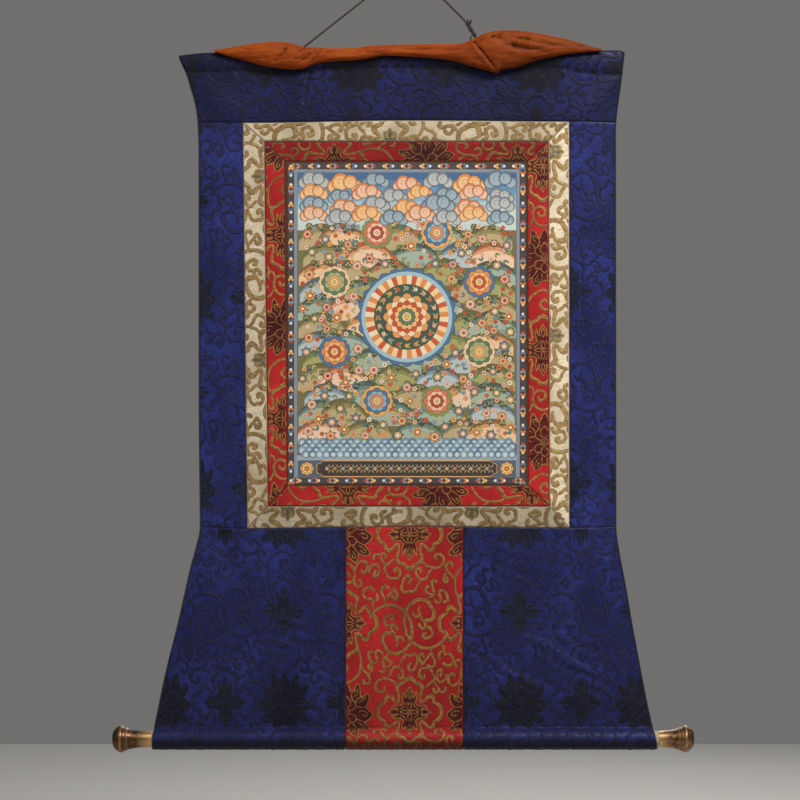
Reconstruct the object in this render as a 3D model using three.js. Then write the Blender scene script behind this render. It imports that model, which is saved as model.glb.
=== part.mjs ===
// Thangka scroll painting: a painted cloth in two brocade borders and a wide blue mounting,
// hung from a cord at its top hem and kept straight by a knobbed wooden rod in its bottom hem.
// Millimetres. X runs right, Z up, and the painted side faces -Y.
// The origin is the hanging point, where the cord passes over its peg.
import * as THREE from 'three';

const { lerp, smoothstep, clamp } = THREE.MathUtils;

// Driving dimensions.
const seamGap = 0.3;
const clothThickness = 2;
const canvasThickness = 1.5;
const hemThickness = 8;
const pipingRadius = 0.8;
const pipingGap = 0.5;
const edgeCurl = 3;
const edgeCurlWidth = 22;

const rodAxisY = 3;
const rodAxisZ = -964.3;
const rodRadius = 10;
const rodSides = 20;
const sleeveInnerRadius = rodRadius + 0.35;
const sleeveOuterRadius = 13.3;
const sleeveTopZ = rodAxisZ + sleeveOuterRadius;
const tenonRadius = 7;
const tenonLength = 22;
const knobLeftX = -321.7;
const knobRightX = 312.9;

const veilThickness = 2.2;
const veilTipThickness = 1;
const veilFrontY = 1.2;
const veilCrestY = 3;
const veilTuckY = 5.9;
const tuckDepth = 0.5;

const cordRadius = 1.5;
const tailRadius = 1.1;

const doorLeftX = -79.2;
const doorRightX = 68.3;

// Corners of the three nested frames, as they hang: not quite square.
const creamCorners = {
  topLeft: { x: -207.8, z: -192.8 },
  topRight: { x: 201.1, z: -191.5 },
  bottomRight: { x: 201.1, z: -700.2 },
  bottomLeft: { x: -202.2, z: -700.8 },
};
const redCorners = {
  topLeft: { x: -180.7, z: -216.1 },
  topRight: { x: 175.1, z: -216.1 },
  bottomRight: { x: 176.1, z: -673.1 },
  bottomLeft: { x: -175.9, z: -673.1 },
};
const paintingCorners = {
  topLeft: { x: -154.9, z: -241.6 },
  topRight: { x: 148.1, z: -241.6 },
  bottomRight: { x: 149.4, z: -646.9 },
  bottomLeft: { x: -151.5, z: -646.9 },
};

// Side edges of the whole hanging: flared at the top, straight beside the painting,
// drawn in at the waist seam and spread again down to the rod.
const edgeRows = [
  { z: -100, left: -293, right: 271.9 },
  { z: -109, left: -289.6, right: 271.2 },
  { z: -134, left: -278.8, right: 268.3 },
  { z: -151, left: -273.8, right: 266.1 },
  { z: -166, left: -269.4, right: 264 },
  { z: -181, left: -266.5, right: 262.1 },
  { z: -200, left: -264.9, right: 260.5 },
  { z: -230, left: -263.9, right: 260.4 },
  { z: -560, left: -263.4, right: 260.4 },
  { z: -699, left: -262, right: 260.5 },
  { z: -724, left: -266.8, right: 263.4 },
  { z: -748, left: -273.3, right: 267.6 },
  { z: -780, left: -280.6, right: 273.6 },
  { z: -813, left: -287.9, right: 279 },
  { z: -848, left: -296.5, right: 285.4 },
  { z: -888, left: -306.3, right: 292.9 },
  { z: -923, left: -313.6, right: 299.9 },
  { z: -950, left: -318.8, right: 306 },
  { z: -979, left: -321.2, right: 311.9 },
];

// Top edge of the heading, and the stitching line that closes its hem.
const headingTopRows = [
  { x: -293, top: -111.5, stitch: -128.5 },
  { x: -288, top: -108.3, stitch: -128.3 },
  { x: -274, top: -106.6, stitch: -128 },
  { x: -255, top: -105.1, stitch: -127.6 },
  { x: -223, top: -104.8, stitch: -127 },
  { x: -17, top: -104, stitch: -122.6 },
  { x: 152, top: -103.2, stitch: -123.2 },
  { x: 195, top: -102.8, stitch: -124.6 },
  { x: 214, top: -102.6, stitch: -127.6 },
  { x: 240, top: -102.2, stitch: -131 },
  { x: 262, top: -101.5, stitch: -131.4 },
  { x: 272, top: -103.9, stitch: -131.6 },
];

// The two long seams across the hanging, each a little bowed.
const crossSeamRows = [
  { x: -300, heading: -192.1, waist: -699 },
  { x: -264, heading: -192.1, waist: -699 },
  { x: -205, heading: -192.8, waist: -700.8 },
  { x: 0, heading: -189.8, waist: -698.2 },
  { x: 201, heading: -191.5, waist: -700.2 },
  { x: 261, heading: -192.1, waist: -699 },
  { x: 300, heading: -192.1, waist: -699 },
];

// How far the middle of the cloth hangs behind the hanging point, down its height.
const hangRows = [
  { z: -100, y: 9 },
  { z: -128, y: 8.6 },
  { z: -192, y: 7.2 },
  { z: -330, y: 5 },
  { z: -450, y: 4 },
  { z: -640, y: 2.8 },
  { z: -760, y: 0.6 },
  { z: -860, y: -0.6 },
  { z: -915, y: 0.6 },
  { z: -951, y: 3 },
  { z: -980, y: 3 },
];

// Soft folds of the flat cloth, each along a straight line: rise is towards the viewer.
const clothFolds = [
  { where: 'under the left tie', fromX: -132, fromZ: -130, toX: -134.6, toZ: -166, rise: -1.3, width: 3 },
  { where: 'left shoulder', fromX: -272, fromZ: -138, toX: -216, toZ: -182, rise: 1.6, width: 15 },
  { where: 'right shoulder', fromX: 262, fromZ: -140, toX: 214, toZ: -182, rise: 1.6, width: 15 },
  { where: 'left side panel', fromX: -237, fromZ: -260, toX: -232, toZ: -640, rise: 1.4, width: 16 },
  { where: 'right side panel', fromX: 232, fromZ: -300, toX: 234, toZ: -600, rise: 1.2, width: 16 },
  { where: 'left waist', fromX: -256, fromZ: -704, toX: -205, toZ: -770, rise: -1.5, width: 13 },
  { where: 'right waist', fromX: 255, fromZ: -704, toX: 208, toZ: -770, rise: -1.5, width: 13 },
  { where: 'left skirt', fromX: -240, fromZ: -740, toX: -288, toZ: -915, rise: 2.4, width: 22 },
  { where: 'right skirt', fromX: 236, fromZ: -745, toX: 272, toZ: -915, rise: 2.6, width: 22 },
  { where: 'left of the door', fromX: -112, fromZ: -730, toX: -124, toZ: -915, rise: 1.8, width: 26 },
  { where: 'right of the door', fromX: 118, fromZ: -725, toX: 136, toZ: -915, rise: 2, width: 26 },
  { where: 'right panel ripple', fromX: 150, fromZ: -838, toX: 226, toZ: -884, rise: 1.1, width: 7 },
  { where: 'hollow beside that ripple', fromX: 112, fromZ: -858, toX: 190, toZ: -904, rise: -1.1, width: 7 },
  { where: 'left panel pucker', fromX: -128, fromZ: -850, toX: -92, toZ: -862, rise: -0.9, width: 7 },
];

// Outline of the silk veil gathered along the top hem, and how far it swells forward.
const veilRows = [
  { x: -243, top: -101.6, bottom: -104.4, swell: 1.2 },
  { x: -233, top: -100.6, bottom: -108.2, swell: 3 },
  { x: -207, top: -96.4, bottom: -115.4, swell: 6.5 },
  { x: -183, top: -93, bottom: -122.4, swell: 10 },
  { x: -161, top: -92, bottom: -125.6, swell: 11.5 },
  { x: -146, top: -94, bottom: -126.8, swell: 11 },
  { x: -133, top: -97.8, bottom: -126.4, swell: 9 },
  { x: -122, top: -99.4, bottom: -121.8, swell: 6.5 },
  { x: -112, top: -99, bottom: -119.2, swell: 7 },
  { x: -92, top: -100.2, bottom: -117, swell: 7.5 },
  { x: -65, top: -99, bottom: -115.3, swell: 7 },
  { x: -46, top: -96.8, bottom: -112.6, swell: 6.5 },
  { x: -30, top: -96, bottom: -109.8, swell: 6 },
  { x: 0, top: -95.4, bottom: -110.9, swell: 6.5 },
  { x: 36, top: -94.7, bottom: -113.4, swell: 8 },
  { x: 58, top: -94.8, bottom: -116.6, swell: 9 },
  { x: 71, top: -92.4, bottom: -120.8, swell: 10 },
  { x: 84, top: -86.6, bottom: -124.6, swell: 11.5 },
  { x: 96, top: -81.2, bottom: -127.8, swell: 13 },
  { x: 104, top: -79.2, bottom: -130, swell: 13.4 },
  { x: 110, top: -78.4, bottom: -131.4, swell: 13.6 },
  { x: 117, top: -77.8, bottom: -127, swell: 13.6 },
  { x: 130, top: -77.7, bottom: -125.2, swell: 13.6 },
  { x: 144, top: -78.6, bottom: -121, swell: 13 },
  { x: 159, top: -80.9, bottom: -116, swell: 12 },
  { x: 178, top: -84.4, bottom: -111.6, swell: 10 },
  { x: 198, top: -88.8, bottom: -107.8, swell: 7.5 },
  { x: 220, top: -95.4, bottom: -105.6, swell: 4 },
  { x: 233, top: -99.2, bottom: -104.4, swell: 2.2 },
  { x: 241, top: -100.6, bottom: -103.4, swell: 1.2 },
];

// Main folds on the front of the veil.
const veilFolds = [
  { where: 'pleat by the left tie', fromX: -143, fromZ: -99, toX: -161, toZ: -121, rise: -2, width: 3.4 },
  { where: 'roll beside that pleat', fromX: -134, fromZ: -103, toX: -149, toZ: -124, rise: 1.4, width: 4 },
  { where: 'pleat past the tie', fromX: -111, fromZ: -101, toX: -128, toZ: -121, rise: -2.2, width: 3.2 },
  { where: 'roll past that pleat', fromX: -101, fromZ: -104, toX: -118, toZ: -116, rise: 1.3, width: 3.4 },
  { where: 'crossing fold', fromX: 83, fromZ: -92, toX: 109, toZ: -128, rise: -2.2, width: 3 },
  { where: 'roll beside it', fromX: 76, fromZ: -94, toX: 101, toZ: -126, rise: 1.4, width: 4 },
  { where: 'upper long fold', fromX: 104, fromZ: -88, toX: 212, toZ: -98, rise: -1.9, width: 3.4 },
  { where: 'lower long fold', fromX: 112, fromZ: -95, toX: 206, toZ: -102, rise: -1.7, width: 3.8 },
  { where: 'belly of the right end', fromX: 118, fromZ: -113, toX: 178, toZ: -105, rise: 1.5, width: 6 },
];

// Middle line of the hanging cord, from the left tie over the peg to the right knot.
const cordRoute = [
  { x: -138.6, y: 9.3, z: -103 },
  { x: -130.5, y: 8.9, z: -97.1 },
  { x: -118, y: 8.2, z: -87.5 },
  { x: -103, y: 7.2, z: -75.8 },
  { x: -88, y: 6.2, z: -64.2 },
  { x: -73, y: 5.1, z: -52.6 },
  { x: -59.4, y: 4.2, z: -42.1 },
  { x: -44, y: 3.1, z: -30.2 },
  { x: -30, y: 2.1, z: -19.4 },
  { x: -17, y: 1.2, z: -9.3 },
  { x: -8.5, y: 0.5, z: -2.8 },
  { x: -4.4, y: 0.2, z: 0.2 },
  { x: -2.6, y: 0.1, z: 1.2 },
  { x: -0.5, y: 0, z: 1.6 },
  { x: 1.7, y: 0.1, z: 1.2 },
  { x: 4, y: 0.2, z: -0.3 },
  { x: 8.5, y: 0.6, z: -4.6 },
  { x: 18, y: 1.4, z: -13.9 },
  { x: 31, y: 2.4, z: -26.6 },
  { x: 44.9, y: 3.6, z: -40.2 },
  { x: 58, y: 4.7, z: -53.1 },
  { x: 71.3, y: 5.8, z: -66.2 },
];
const knotStart = { x: 71.6, y: 5.9, z: -66.5 };
const knotEnd = { x: 84.3, y: 7.4, z: -85.4 };
const knotRows = [
  { along: 0, radius: 1.7 },
  { along: 0.08, radius: 2.6 },
  { along: 0.2, radius: 3.2 },
  { along: 0.34, radius: 2.7 },
  { along: 0.5, radius: 3.3 },
  { along: 0.65, radius: 2.8 },
  { along: 0.8, radius: 3.3 },
  { along: 0.93, radius: 2.7 },
  { along: 1, radius: 1.5 },
];
const tailRoute = [
  { x: 78.1, y: 8, z: -84.1 },
  { x: 77.4, y: 8.9, z: -89.6 },
  { x: 76.6, y: 9.3, z: -96 },
  { x: 76.2, y: 9.3, z: -103 },
];

// Outline of a knob, measured back from its tip: a domed end, a grooved rim, and a taper to the neck.
const knobRows = [
  { fromTip: 0.6, radius: 7 },
  { fromTip: 1.8, radius: 11 },
  { fromTip: 4, radius: 14.2 },
  { fromTip: 6.5, radius: 16.2 },
  { fromTip: 9, radius: 16.8 },
  { fromTip: 10.8, radius: 16 },
  { fromTip: 12.4, radius: 16.8 },
  { fromTip: 17, radius: 16.4 },
  { fromTip: 18.6, radius: 15 },
  { fromTip: 22, radius: 13.6 },
  { fromTip: 27, radius: 12.2 },
  { fromTip: 34, radius: 10.9 },
];
const knobNeckRadius = 9.8;
const knobLeftLength = 49.2;
const knobRightLength = 44.2;

// Gives column `to` of a table for any value of column `from`, on a smooth curve that never overshoots.
function curveThrough(rows, from, to) {
  const knots = rows.map((row) => ({ at: row[from], value: row[to] }));
  knots.sort((a, b) => a.at - b.at);
  const steepness = (i) => (knots[i + 1].value - knots[i].value) / (knots[i + 1].at - knots[i].at);
  const slopes = knots.map((knot, i) => {
    const before = steepness(Math.max(i - 1, 0));
    const after = steepness(Math.min(i, knots.length - 2));
    return before * after > 0 ? (2 * before * after) / (before + after) : 0;
  });
  return (at) => {
    let i = 0;
    while (i < knots.length - 2 && at > knots[i + 1].at) {
      i += 1;
    }
    const span = knots[i + 1].at - knots[i].at;
    const t = clamp((at - knots[i].at) / span, 0, 1);
    const rest = 1 - t;
    const fromStart = rest * rest * ((1 + 2 * t) * knots[i].value + t * span * slopes[i]);
    const fromEnd = t * t * ((3 - 2 * t) * knots[i + 1].value - rest * span * slopes[i + 1]);
    return fromStart + fromEnd;
  };
}

const leftEdge = curveThrough(edgeRows, 'z', 'left');
const rightEdge = curveThrough(edgeRows, 'z', 'right');

// Line that stays a distance inside a side edge, measured square to that edge.
function insideEdge(edge, distance) {
  return (z) => edge(z) + distance * Math.hypot(1, edge(z + 0.5) - edge(z - 0.5));
}

const clothInset = 2 * pipingRadius + pipingGap;
const leftSelvedge = insideEdge(leftEdge, clothInset);
const rightSelvedge = insideEdge(rightEdge, -clothInset);

const headingTop = curveThrough(headingTopRows, 'x', 'top');
const hemStitch = curveThrough(headingTopRows, 'x', 'stitch');
const headingSeam = curveThrough(crossSeamRows, 'x', 'heading');
const waistSeam = curveThrough(crossSeamRows, 'x', 'waist');
const hang = curveThrough(hangRows, 'z', 'y');

// Straight seam through two corners, as x for a given z or as z for a given x.
const seamX = (a, b) => (z) => lerp(a.x, b.x, (z - a.z) / (b.z - a.z));
const seamZ = (a, b) => (x) => lerp(a.z, b.z, (x - a.x) / (b.x - a.x));
const moved = (seam, distance) => (at) => seam(at) + distance;

// Height of the folds of one table at a place on the front.
function foldHeight(folds, x, z) {
  let height = 0;
  for (const fold of folds) {
    const alongX = fold.toX - fold.fromX;
    const alongZ = fold.toZ - fold.fromZ;
    const share = ((x - fold.fromX) * alongX + (z - fold.fromZ) * alongZ) / (alongX ** 2 + alongZ ** 2);
    const nearest = clamp(share, 0, 1);
    const offX = x - fold.fromX - nearest * alongX;
    const offZ = z - fold.fromZ - nearest * alongZ;
    height += fold.rise * Math.exp(-(offX ** 2 + offZ ** 2) / fold.width ** 2);
  }
  return height;
}

// Depth of the middle of the cloth: every flat piece hangs on this one surface.
function drape(x, z) {
  const freedom = smoothstep(z, sleeveTopZ, sleeveTopZ + 32);
  const fromEdge = Math.min(x - leftEdge(z), rightEdge(z) - x);
  const curl = edgeCurl * Math.exp(-((fromEdge / edgeCurlWidth) ** 2));
  return hang(z) + freedom * (curl - foldHeight(clothFolds, x, z));
}

// Joins closed loops of points, each counter-clockwise as seen from +X, into one solid from -X to +X.
// A loop runs down its front and up its back: its first and last `paired` points face each other
// across the thickness. Holes are smaller loops whose points face those in the middle of the loop.
function loft(loops, paired, holes = []) {
  const positions = [];
  const triangles = [];
  const size = loops[0].length;
  const addQuad = (a, b, c, d, facing = 1) => {
    const corners = facing > 0 ? [a, b, c, a, c, d] : [a, c, b, a, d, c];
    triangles.push(...corners);
  };
  const addWalls = (rings, facing) => {
    const first = positions.length / 3;
    const count = rings[0].length;
    for (const point of rings.flat()) {
      positions.push(point.x, point.y, point.z);
    }
    for (let i = 0; i < rings.length - 1; i += 1) {
      for (let k = 0; k < count; k += 1) {
        const a = first + i * count + k;
        const b = first + i * count + ((k + 1) % count);
        addQuad(a, b, b + count, a + count, facing);
      }
    }
    return { first, last: first + (rings.length - 1) * count, count };
  };
  const addCap = (outer, hole, facing) => {
    for (let k = 0; k < paired - 1; k += 1) {
      addQuad(outer + k, outer + k + 1, outer + size - 2 - k, outer + size - 1 - k, facing);
    }
    if (hole === undefined) {
      return;
    }
    const middle = outer + paired - 1;
    const across = holes[0].length - 1;
    for (let k = 0; k < across; k += 1) {
      addQuad(middle + k, middle + k + 1, hole + k + 1, hole + k, facing);
    }
    addQuad(middle, hole, hole + across, middle + across, facing);
  };
  const outer = addWalls(loops, 1);
  const inner = holes.length ? addWalls(holes, -1) : {};
  addCap(outer.first, inner.first, -1);
  addCap(outer.last, inner.last, 1);
  const geometry = new THREE.BufferGeometry();
  geometry.setAttribute('position', new THREE.Float32BufferAttribute(positions, 3));
  geometry.setIndex(triangles);
  geometry.computeVertexNormals();
  return geometry;
}

// Even levels between two cross lines, for a cloth of one thickness.
function evenLevels(top, bottom, rows, thickness) {
  const level = (j) => (x) => ({ z: lerp(top(x), bottom(x), j / rows), half: thickness / 2 });
  return Array.from({ length: rows + 1 }, (unused, j) => level(j));
}

// Place on a level at a share of its width. Edges depend on z and levels on x, so it is found in three steps.
function placeOn(level, left, right, share) {
  let x = lerp(left(level(0).z), right(level(0).z), share);
  for (let step = 0; step < 3; step += 1) {
    const { z } = level(x);
    x = lerp(left(z), right(z), share);
  }
  return { x, ...level(x) };
}

// Flat piece of cloth between two edges and two cross lines.
function clothPiece({ left, right, levels, columns }) {
  const loops = [];
  for (let i = 0; i <= columns; i += 1) {
    const places = levels.map((level) => placeOn(level, left, right, i / columns));
    const face = (side) => places.map(({ x, z, half }) => new THREE.Vector3(x, drape(x, z) + side * half, z));
    loops.push([...face(-1), ...face(1).reverse()]);
  }
  return loft(loops, levels.length);
}

// Heading: its top edge is turned over into a stuffed hem, and below the stitching it is plain cloth.
function headingPanel() {
  const hemShares = [0, 0.07, 0.22, 0.5, 0.78, 0.93, 1];
  const bodyShares = [0.2, 0.45, 0.72, 1];
  const fullness = (share) => Math.sin(Math.PI * share) ** 0.6;
  const swell = (hemThickness - clothThickness) / 2;
  const hemLevels = hemShares.map((share) => (x) => ({
    z: lerp(headingTop(x), hemStitch(x), share),
    half: clothThickness / 2 + swell * Math.max(fullness(share), 0),
  }));
  const bodyLevels = bodyShares.map((share) => (x) => ({
    z: lerp(hemStitch(x), headingSeam(x) + seamGap / 2, share),
    half: clothThickness / 2,
  }));
  return clothPiece({
    left: leftSelvedge,
    right: rightSelvedge,
    levels: [...hemLevels, ...bodyLevels],
    columns: 26,
  });
}

// Blue panel beside the painting, from the heading seam to the waist seam.
function sidePanel(left, right) {
  const top = moved(headingSeam, -seamGap / 2);
  const bottom = moved(waistSeam, seamGap / 2);
  return clothPiece({ left, right, levels: evenLevels(top, bottom, 20, clothThickness), columns: 3 });
}

// The four mitred strips between two nested frames, each with the two seams that bound it.
function frameStrips(outer, inner, topSeam, bottomSeam) {
  const half = seamGap / 2;
  const mitreGap = half * Math.SQRT2;
  const leftSeam = seamX(outer.topLeft, outer.bottomLeft);
  const rightSeam = seamX(outer.topRight, outer.bottomRight);
  const innerLeft = seamX(inner.topLeft, inner.bottomLeft);
  const innerRight = seamX(inner.topRight, inner.bottomRight);
  const across = { columns: 14, rows: 2 };
  const down = { columns: 2, rows: 18 };
  const strip = (left, right, top, bottom, { columns, rows }) =>
    clothPiece({ left, right, levels: evenLevels(top, bottom, rows, clothThickness), columns });
  return {
    top: strip(
      moved(seamX(outer.topLeft, inner.topLeft), mitreGap),
      moved(seamX(outer.topRight, inner.topRight), -mitreGap),
      moved(topSeam, -half),
      moved(seamZ(inner.topLeft, inner.topRight), half),
      across,
    ),
    bottom: strip(
      moved(seamX(outer.bottomLeft, inner.bottomLeft), mitreGap),
      moved(seamX(outer.bottomRight, inner.bottomRight), -mitreGap),
      moved(seamZ(inner.bottomLeft, inner.bottomRight), -half),
      moved(bottomSeam, half),
      across,
    ),
    left: strip(
      moved(leftSeam, half),
      moved(innerLeft, -half),
      moved(seamZ(outer.topLeft, inner.topLeft), -mitreGap),
      moved(seamZ(outer.bottomLeft, inner.bottomLeft), mitreGap),
      down,
    ),
    right: strip(
      moved(innerRight, half),
      moved(rightSeam, -half),
      moved(seamZ(outer.topRight, inner.topRight), -mitreGap),
      moved(seamZ(outer.bottomRight, inner.bottomRight), mitreGap),
      down,
    ),
  };
}

function paintedCanvas() {
  const { topLeft, topRight, bottomRight, bottomLeft } = paintingCorners;
  const top = moved(seamZ(topLeft, topRight), -seamGap / 2);
  const bottom = moved(seamZ(bottomLeft, bottomRight), seamGap / 2);
  return clothPiece({
    left: moved(seamX(topLeft, bottomLeft), seamGap / 2),
    right: moved(seamX(topRight, bottomRight), -seamGap / 2),
    levels: evenLevels(top, bottom, 12, canvasThickness),
    columns: 9,
  });
}

// Blue or red panel below the waist: plain cloth that ends in a sleeve round the rod.
function lowerPanel(left, right, columns) {
  const rows = 14;
  const half = clothThickness / 2;
  const startAngle = Math.asin(half / sleeveOuterRadius);
  const top = moved(waistSeam, -seamGap / 2);
  const seat = () => rodAxisZ + Math.sqrt(sleeveOuterRadius ** 2 - half ** 2);
  const sheetLevels = evenLevels(top, seat, rows, clothThickness).slice(0, rows);
  const roundLoop = (share, radius) => {
    const loop = [];
    for (let k = 0; k < rodSides; k += 1) {
      const angle = lerp(startAngle, 2 * Math.PI - startAngle, k / (rodSides - 1));
      const z = rodAxisZ + radius * Math.cos(angle);
      const x = lerp(left(z), right(z), share);
      loop.push(new THREE.Vector3(x, rodAxisY - radius * Math.sin(angle), z));
    }
    return loop;
  };
  const loops = [];
  const holes = [];
  for (let i = 0; i <= columns; i += 1) {
    const share = i / columns;
    const places = sheetLevels.map((level) => placeOn(level, left, right, share));
    const face = (side) => places.map(({ x, z }) => new THREE.Vector3(x, drape(x, z) + side * half, z));
    loops.push([...face(-1), ...roundLoop(share, sleeveOuterRadius), ...face(1).reverse()]);
    holes.push(roundLoop(share, sleeveInnerRadius));
  }
  return loft(loops, rows + 1, holes);
}

// Thin piping sewn along one side edge, from the top corner down to the sleeve.
function edgePiping(edge, inward) {
  const line = insideEdge(edge, inward * pipingRadius);
  const topZ = headingTop(edge(-106)) - 1;
  const bottomZ = sleeveTopZ + 1;
  const points = [];
  const stations = 46;
  for (let i = 0; i <= stations; i += 1) {
    const z = lerp(topZ, bottomZ, i / stations);
    points.push({ x: line(z), y: drape(line(z), z), z });
  }
  return tube(points, pipingRadius, 6, stations);
}

// Round tube through a list of points.
function tube(route, radius, sides, steps) {
  const path = new THREE.CatmullRomCurve3(route.map(({ x, y, z }) => new THREE.Vector3(x, y, z)));
  const corners = Array.from({ length: sides }, (unused, k) => {
    const angle = (2 * Math.PI * k) / sides;
    return new THREE.Vector2(radius * Math.cos(angle), radius * Math.sin(angle));
  });
  return new THREE.ExtrudeGeometry(new THREE.Shape(corners), { steps, extrudePath: path });
}

// Silk veil gathered along the top hem: a folded shell that hangs before the hem, tucked down on its top.
function gatheredVeil() {
  const top = curveThrough(veilRows, 'x', 'top');
  const bottom = curveThrough(veilRows, 'x', 'bottom');
  const swell = curveThrough(veilRows, 'x', 'swell');
  const firstX = veilRows[0].x;
  const lastX = veilRows.at(-1).x;
  const sections = 50;
  const frontSteps = 10;
  const backSteps = 3;
  const loops = [];
  for (let i = 0; i <= sections; i += 1) {
    const x = lerp(firstX, lastX, i / sections);
    const fromTip = Math.min(x - firstX, lastX - x);
    const half = lerp(veilTipThickness, veilThickness, smoothstep(fromTip, 0, 16)) / 2;
    const crestZ = top(x) - half;
    const footZ = bottom(x) + half;
    const tuckZ = headingTop(x) - tuckDepth;
    const middle = [];
    for (let k = 0; k <= frontSteps; k += 1) {
      const angle = (Math.PI * k) / frontSteps;
      const rise = (1 - Math.cos(angle)) / 2;
      const z = lerp(footZ, crestZ, rise);
      const out = Math.sin(angle) * (swell(x) + foldHeight(veilFolds, x, z) * smoothstep(swell(x), 2, 8));
      middle.push(new THREE.Vector2(lerp(veilFrontY, veilCrestY, rise) - out, z));
    }
    for (let k = 1; k <= backSteps; k += 1) {
      const angle = (Math.PI / 2) * (k / backSteps);
      const y = lerp(veilCrestY, veilTuckY, Math.sin(angle));
      middle.push(new THREE.Vector2(y, lerp(tuckZ, crestZ, Math.cos(angle))));
    }
    const side = (facing) =>
      middle.map((point, k) => {
        const before = middle[Math.max(k - 1, 0)];
        const after = middle[Math.min(k + 1, middle.length - 1)];
        const along = after.clone().sub(before).normalize();
        return new THREE.Vector3(x, point.x - facing * half * along.y, point.y + facing * half * along.x);
      });
    loops.push([...side(-1), ...side(1).reverse()]);
  }
  return loft(loops, frontSteps + backSteps + 1);
}

// Turned profile placed on a line: radius against the distance along it.
function turned(rows, sides) {
  const profile = rows.map(({ along, radius }) => new THREE.Vector2(radius, along));
  return new THREE.LatheGeometry(profile, sides);
}

// Wooden rod with a thinner tenon at each end for the knobs.
function bottomRod() {
  const start = knobLeftX + seamGap;
  const end = knobRightX - seamGap;
  const rows = [
    { along: start - tenonLength, radius: 0 },
    { along: start - tenonLength, radius: tenonRadius },
    { along: start, radius: tenonRadius },
    { along: start, radius: rodRadius },
    { along: end, radius: rodRadius },
    { along: end, radius: tenonRadius },
    { along: end + tenonLength, radius: tenonRadius },
    { along: end + tenonLength, radius: 0 },
  ];
  return turned(rows, rodSides);
}

// Brass knob: a flared cap with a grooved rim and a socket for the rod's tenon.
function knob(length) {
  const socketRadius = tenonRadius + seamGap;
  const socketDepth = tenonLength + 2 * seamGap;
  const outside = knobRows.map(({ fromTip, radius }) => ({ along: length - fromTip, radius }));
  return turned(
    [
      { along: socketDepth, radius: 0 },
      { along: socketDepth, radius: socketRadius },
      { along: 0, radius: socketRadius },
      { along: 0, radius: knobNeckRadius },
      ...outside.reverse(),
      { along: length, radius: 0 },
    ],
    24,
  );
}

// Wound knot where the right end of the cord is tied off.
function tieKnot() {
  const length = new THREE.Vector3().subVectors(knotEnd, knotStart).length();
  const rows = knotRows.map(({ along, radius }) => ({ along: along * length, radius }));
  const ends = [{ along: 0, radius: 0 }, ...rows, { along: length, radius: 0 }];
  return turned(ends, 8);
}

const finishes = {
  blueBrocade: { color: 0x24305f, roughness: 0.55, metalness: 0 },
  redBrocade: { color: 0x8c2f2a, roughness: 0.5, metalness: 0 },
  creamBrocade: { color: 0xc4ae86, roughness: 0.5, metalness: 0 },
  canvas: { color: 0xa38672, roughness: 0.8, metalness: 0 },
  silk: { color: 0x873b17, roughness: 0.45, metalness: 0 },
  cord: { color: 0x3a3238, roughness: 0.85, metalness: 0 },
  piping: { color: 0x2c3229, roughness: 0.8, metalness: 0 },
  wood: { color: 0xb08a6a, roughness: 0.7, metalness: 0 },
  brass: { color: 0x947d59, roughness: 0.4, metalness: 0.9 },
};

const scroll = new THREE.Group();

function add(name, geometry, finish) {
  const mesh = new THREE.Mesh(geometry, new THREE.MeshStandardMaterial(finishes[finish]));
  mesh.name = name;
  scroll.add(mesh);
  return mesh;
}

const creamLeft = moved(seamX(creamCorners.topLeft, creamCorners.bottomLeft), -seamGap / 2);
const creamRight = moved(seamX(creamCorners.topRight, creamCorners.bottomRight), seamGap / 2);

add('heading_panel', headingPanel(), 'blueBrocade');
add('side_panel_left', sidePanel(leftSelvedge, creamLeft), 'blueBrocade');
add('side_panel_right', sidePanel(creamRight, rightSelvedge), 'blueBrocade');
add('lower_panel_left', lowerPanel(leftSelvedge, () => doorLeftX - seamGap / 2, 7), 'blueBrocade');
add('lower_panel_right', lowerPanel(() => doorRightX + seamGap / 2, rightSelvedge, 7), 'blueBrocade');
add('door_panel', lowerPanel(() => doorLeftX + seamGap / 2, () => doorRightX - seamGap / 2, 4), 'redBrocade');

const creamStrips = frameStrips(creamCorners, redCorners, headingSeam, waistSeam);
const redTop = seamZ(redCorners.topLeft, redCorners.topRight);
const redBottom = seamZ(redCorners.bottomLeft, redCorners.bottomRight);
const redStrips = frameStrips(redCorners, paintingCorners, redTop, redBottom);
for (const side of ['top', 'bottom', 'left', 'right']) {
  add(`cream_strip_${side}`, creamStrips[side], 'creamBrocade');
  add(`red_strip_${side}`, redStrips[side], 'redBrocade');
}
add('painting', paintedCanvas(), 'canvas');
add('edge_piping_left', edgePiping(leftEdge, 1), 'piping');
add('edge_piping_right', edgePiping(rightEdge, -1), 'piping');

add('silk_veil', gatheredVeil(), 'silk');
add('hanging_cord', tube(cordRoute, cordRadius, 8, 44), 'cord');
add('cord_tail', tube(tailRoute, tailRadius, 8, 6), 'cord');
const knot = add('tie_knot', tieKnot(), 'cord');
const knotAxis = new THREE.Vector3().subVectors(knotEnd, knotStart).normalize();
knot.position.copy(knotStart);
knot.quaternion.setFromUnitVectors(new THREE.Vector3(0, 1, 0), knotAxis);

const rod = add('bottom_rod', bottomRod(), 'wood');
rod.position.set(0, rodAxisY, rodAxisZ);
rod.rotation.z = -Math.PI / 2;
const knobLeft = add('knob_left', knob(knobLeftLength), 'brass');
knobLeft.position.set(knobLeftX, rodAxisY, rodAxisZ);
knobLeft.rotation.z = Math.PI / 2;
const knobRight = add('knob_right', knob(knobRightLength), 'brass');
knobRight.position.set(knobRightX, rodAxisY, rodAxisZ);
knobRight.rotation.z = -Math.PI / 2;

export default scroll;
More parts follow.
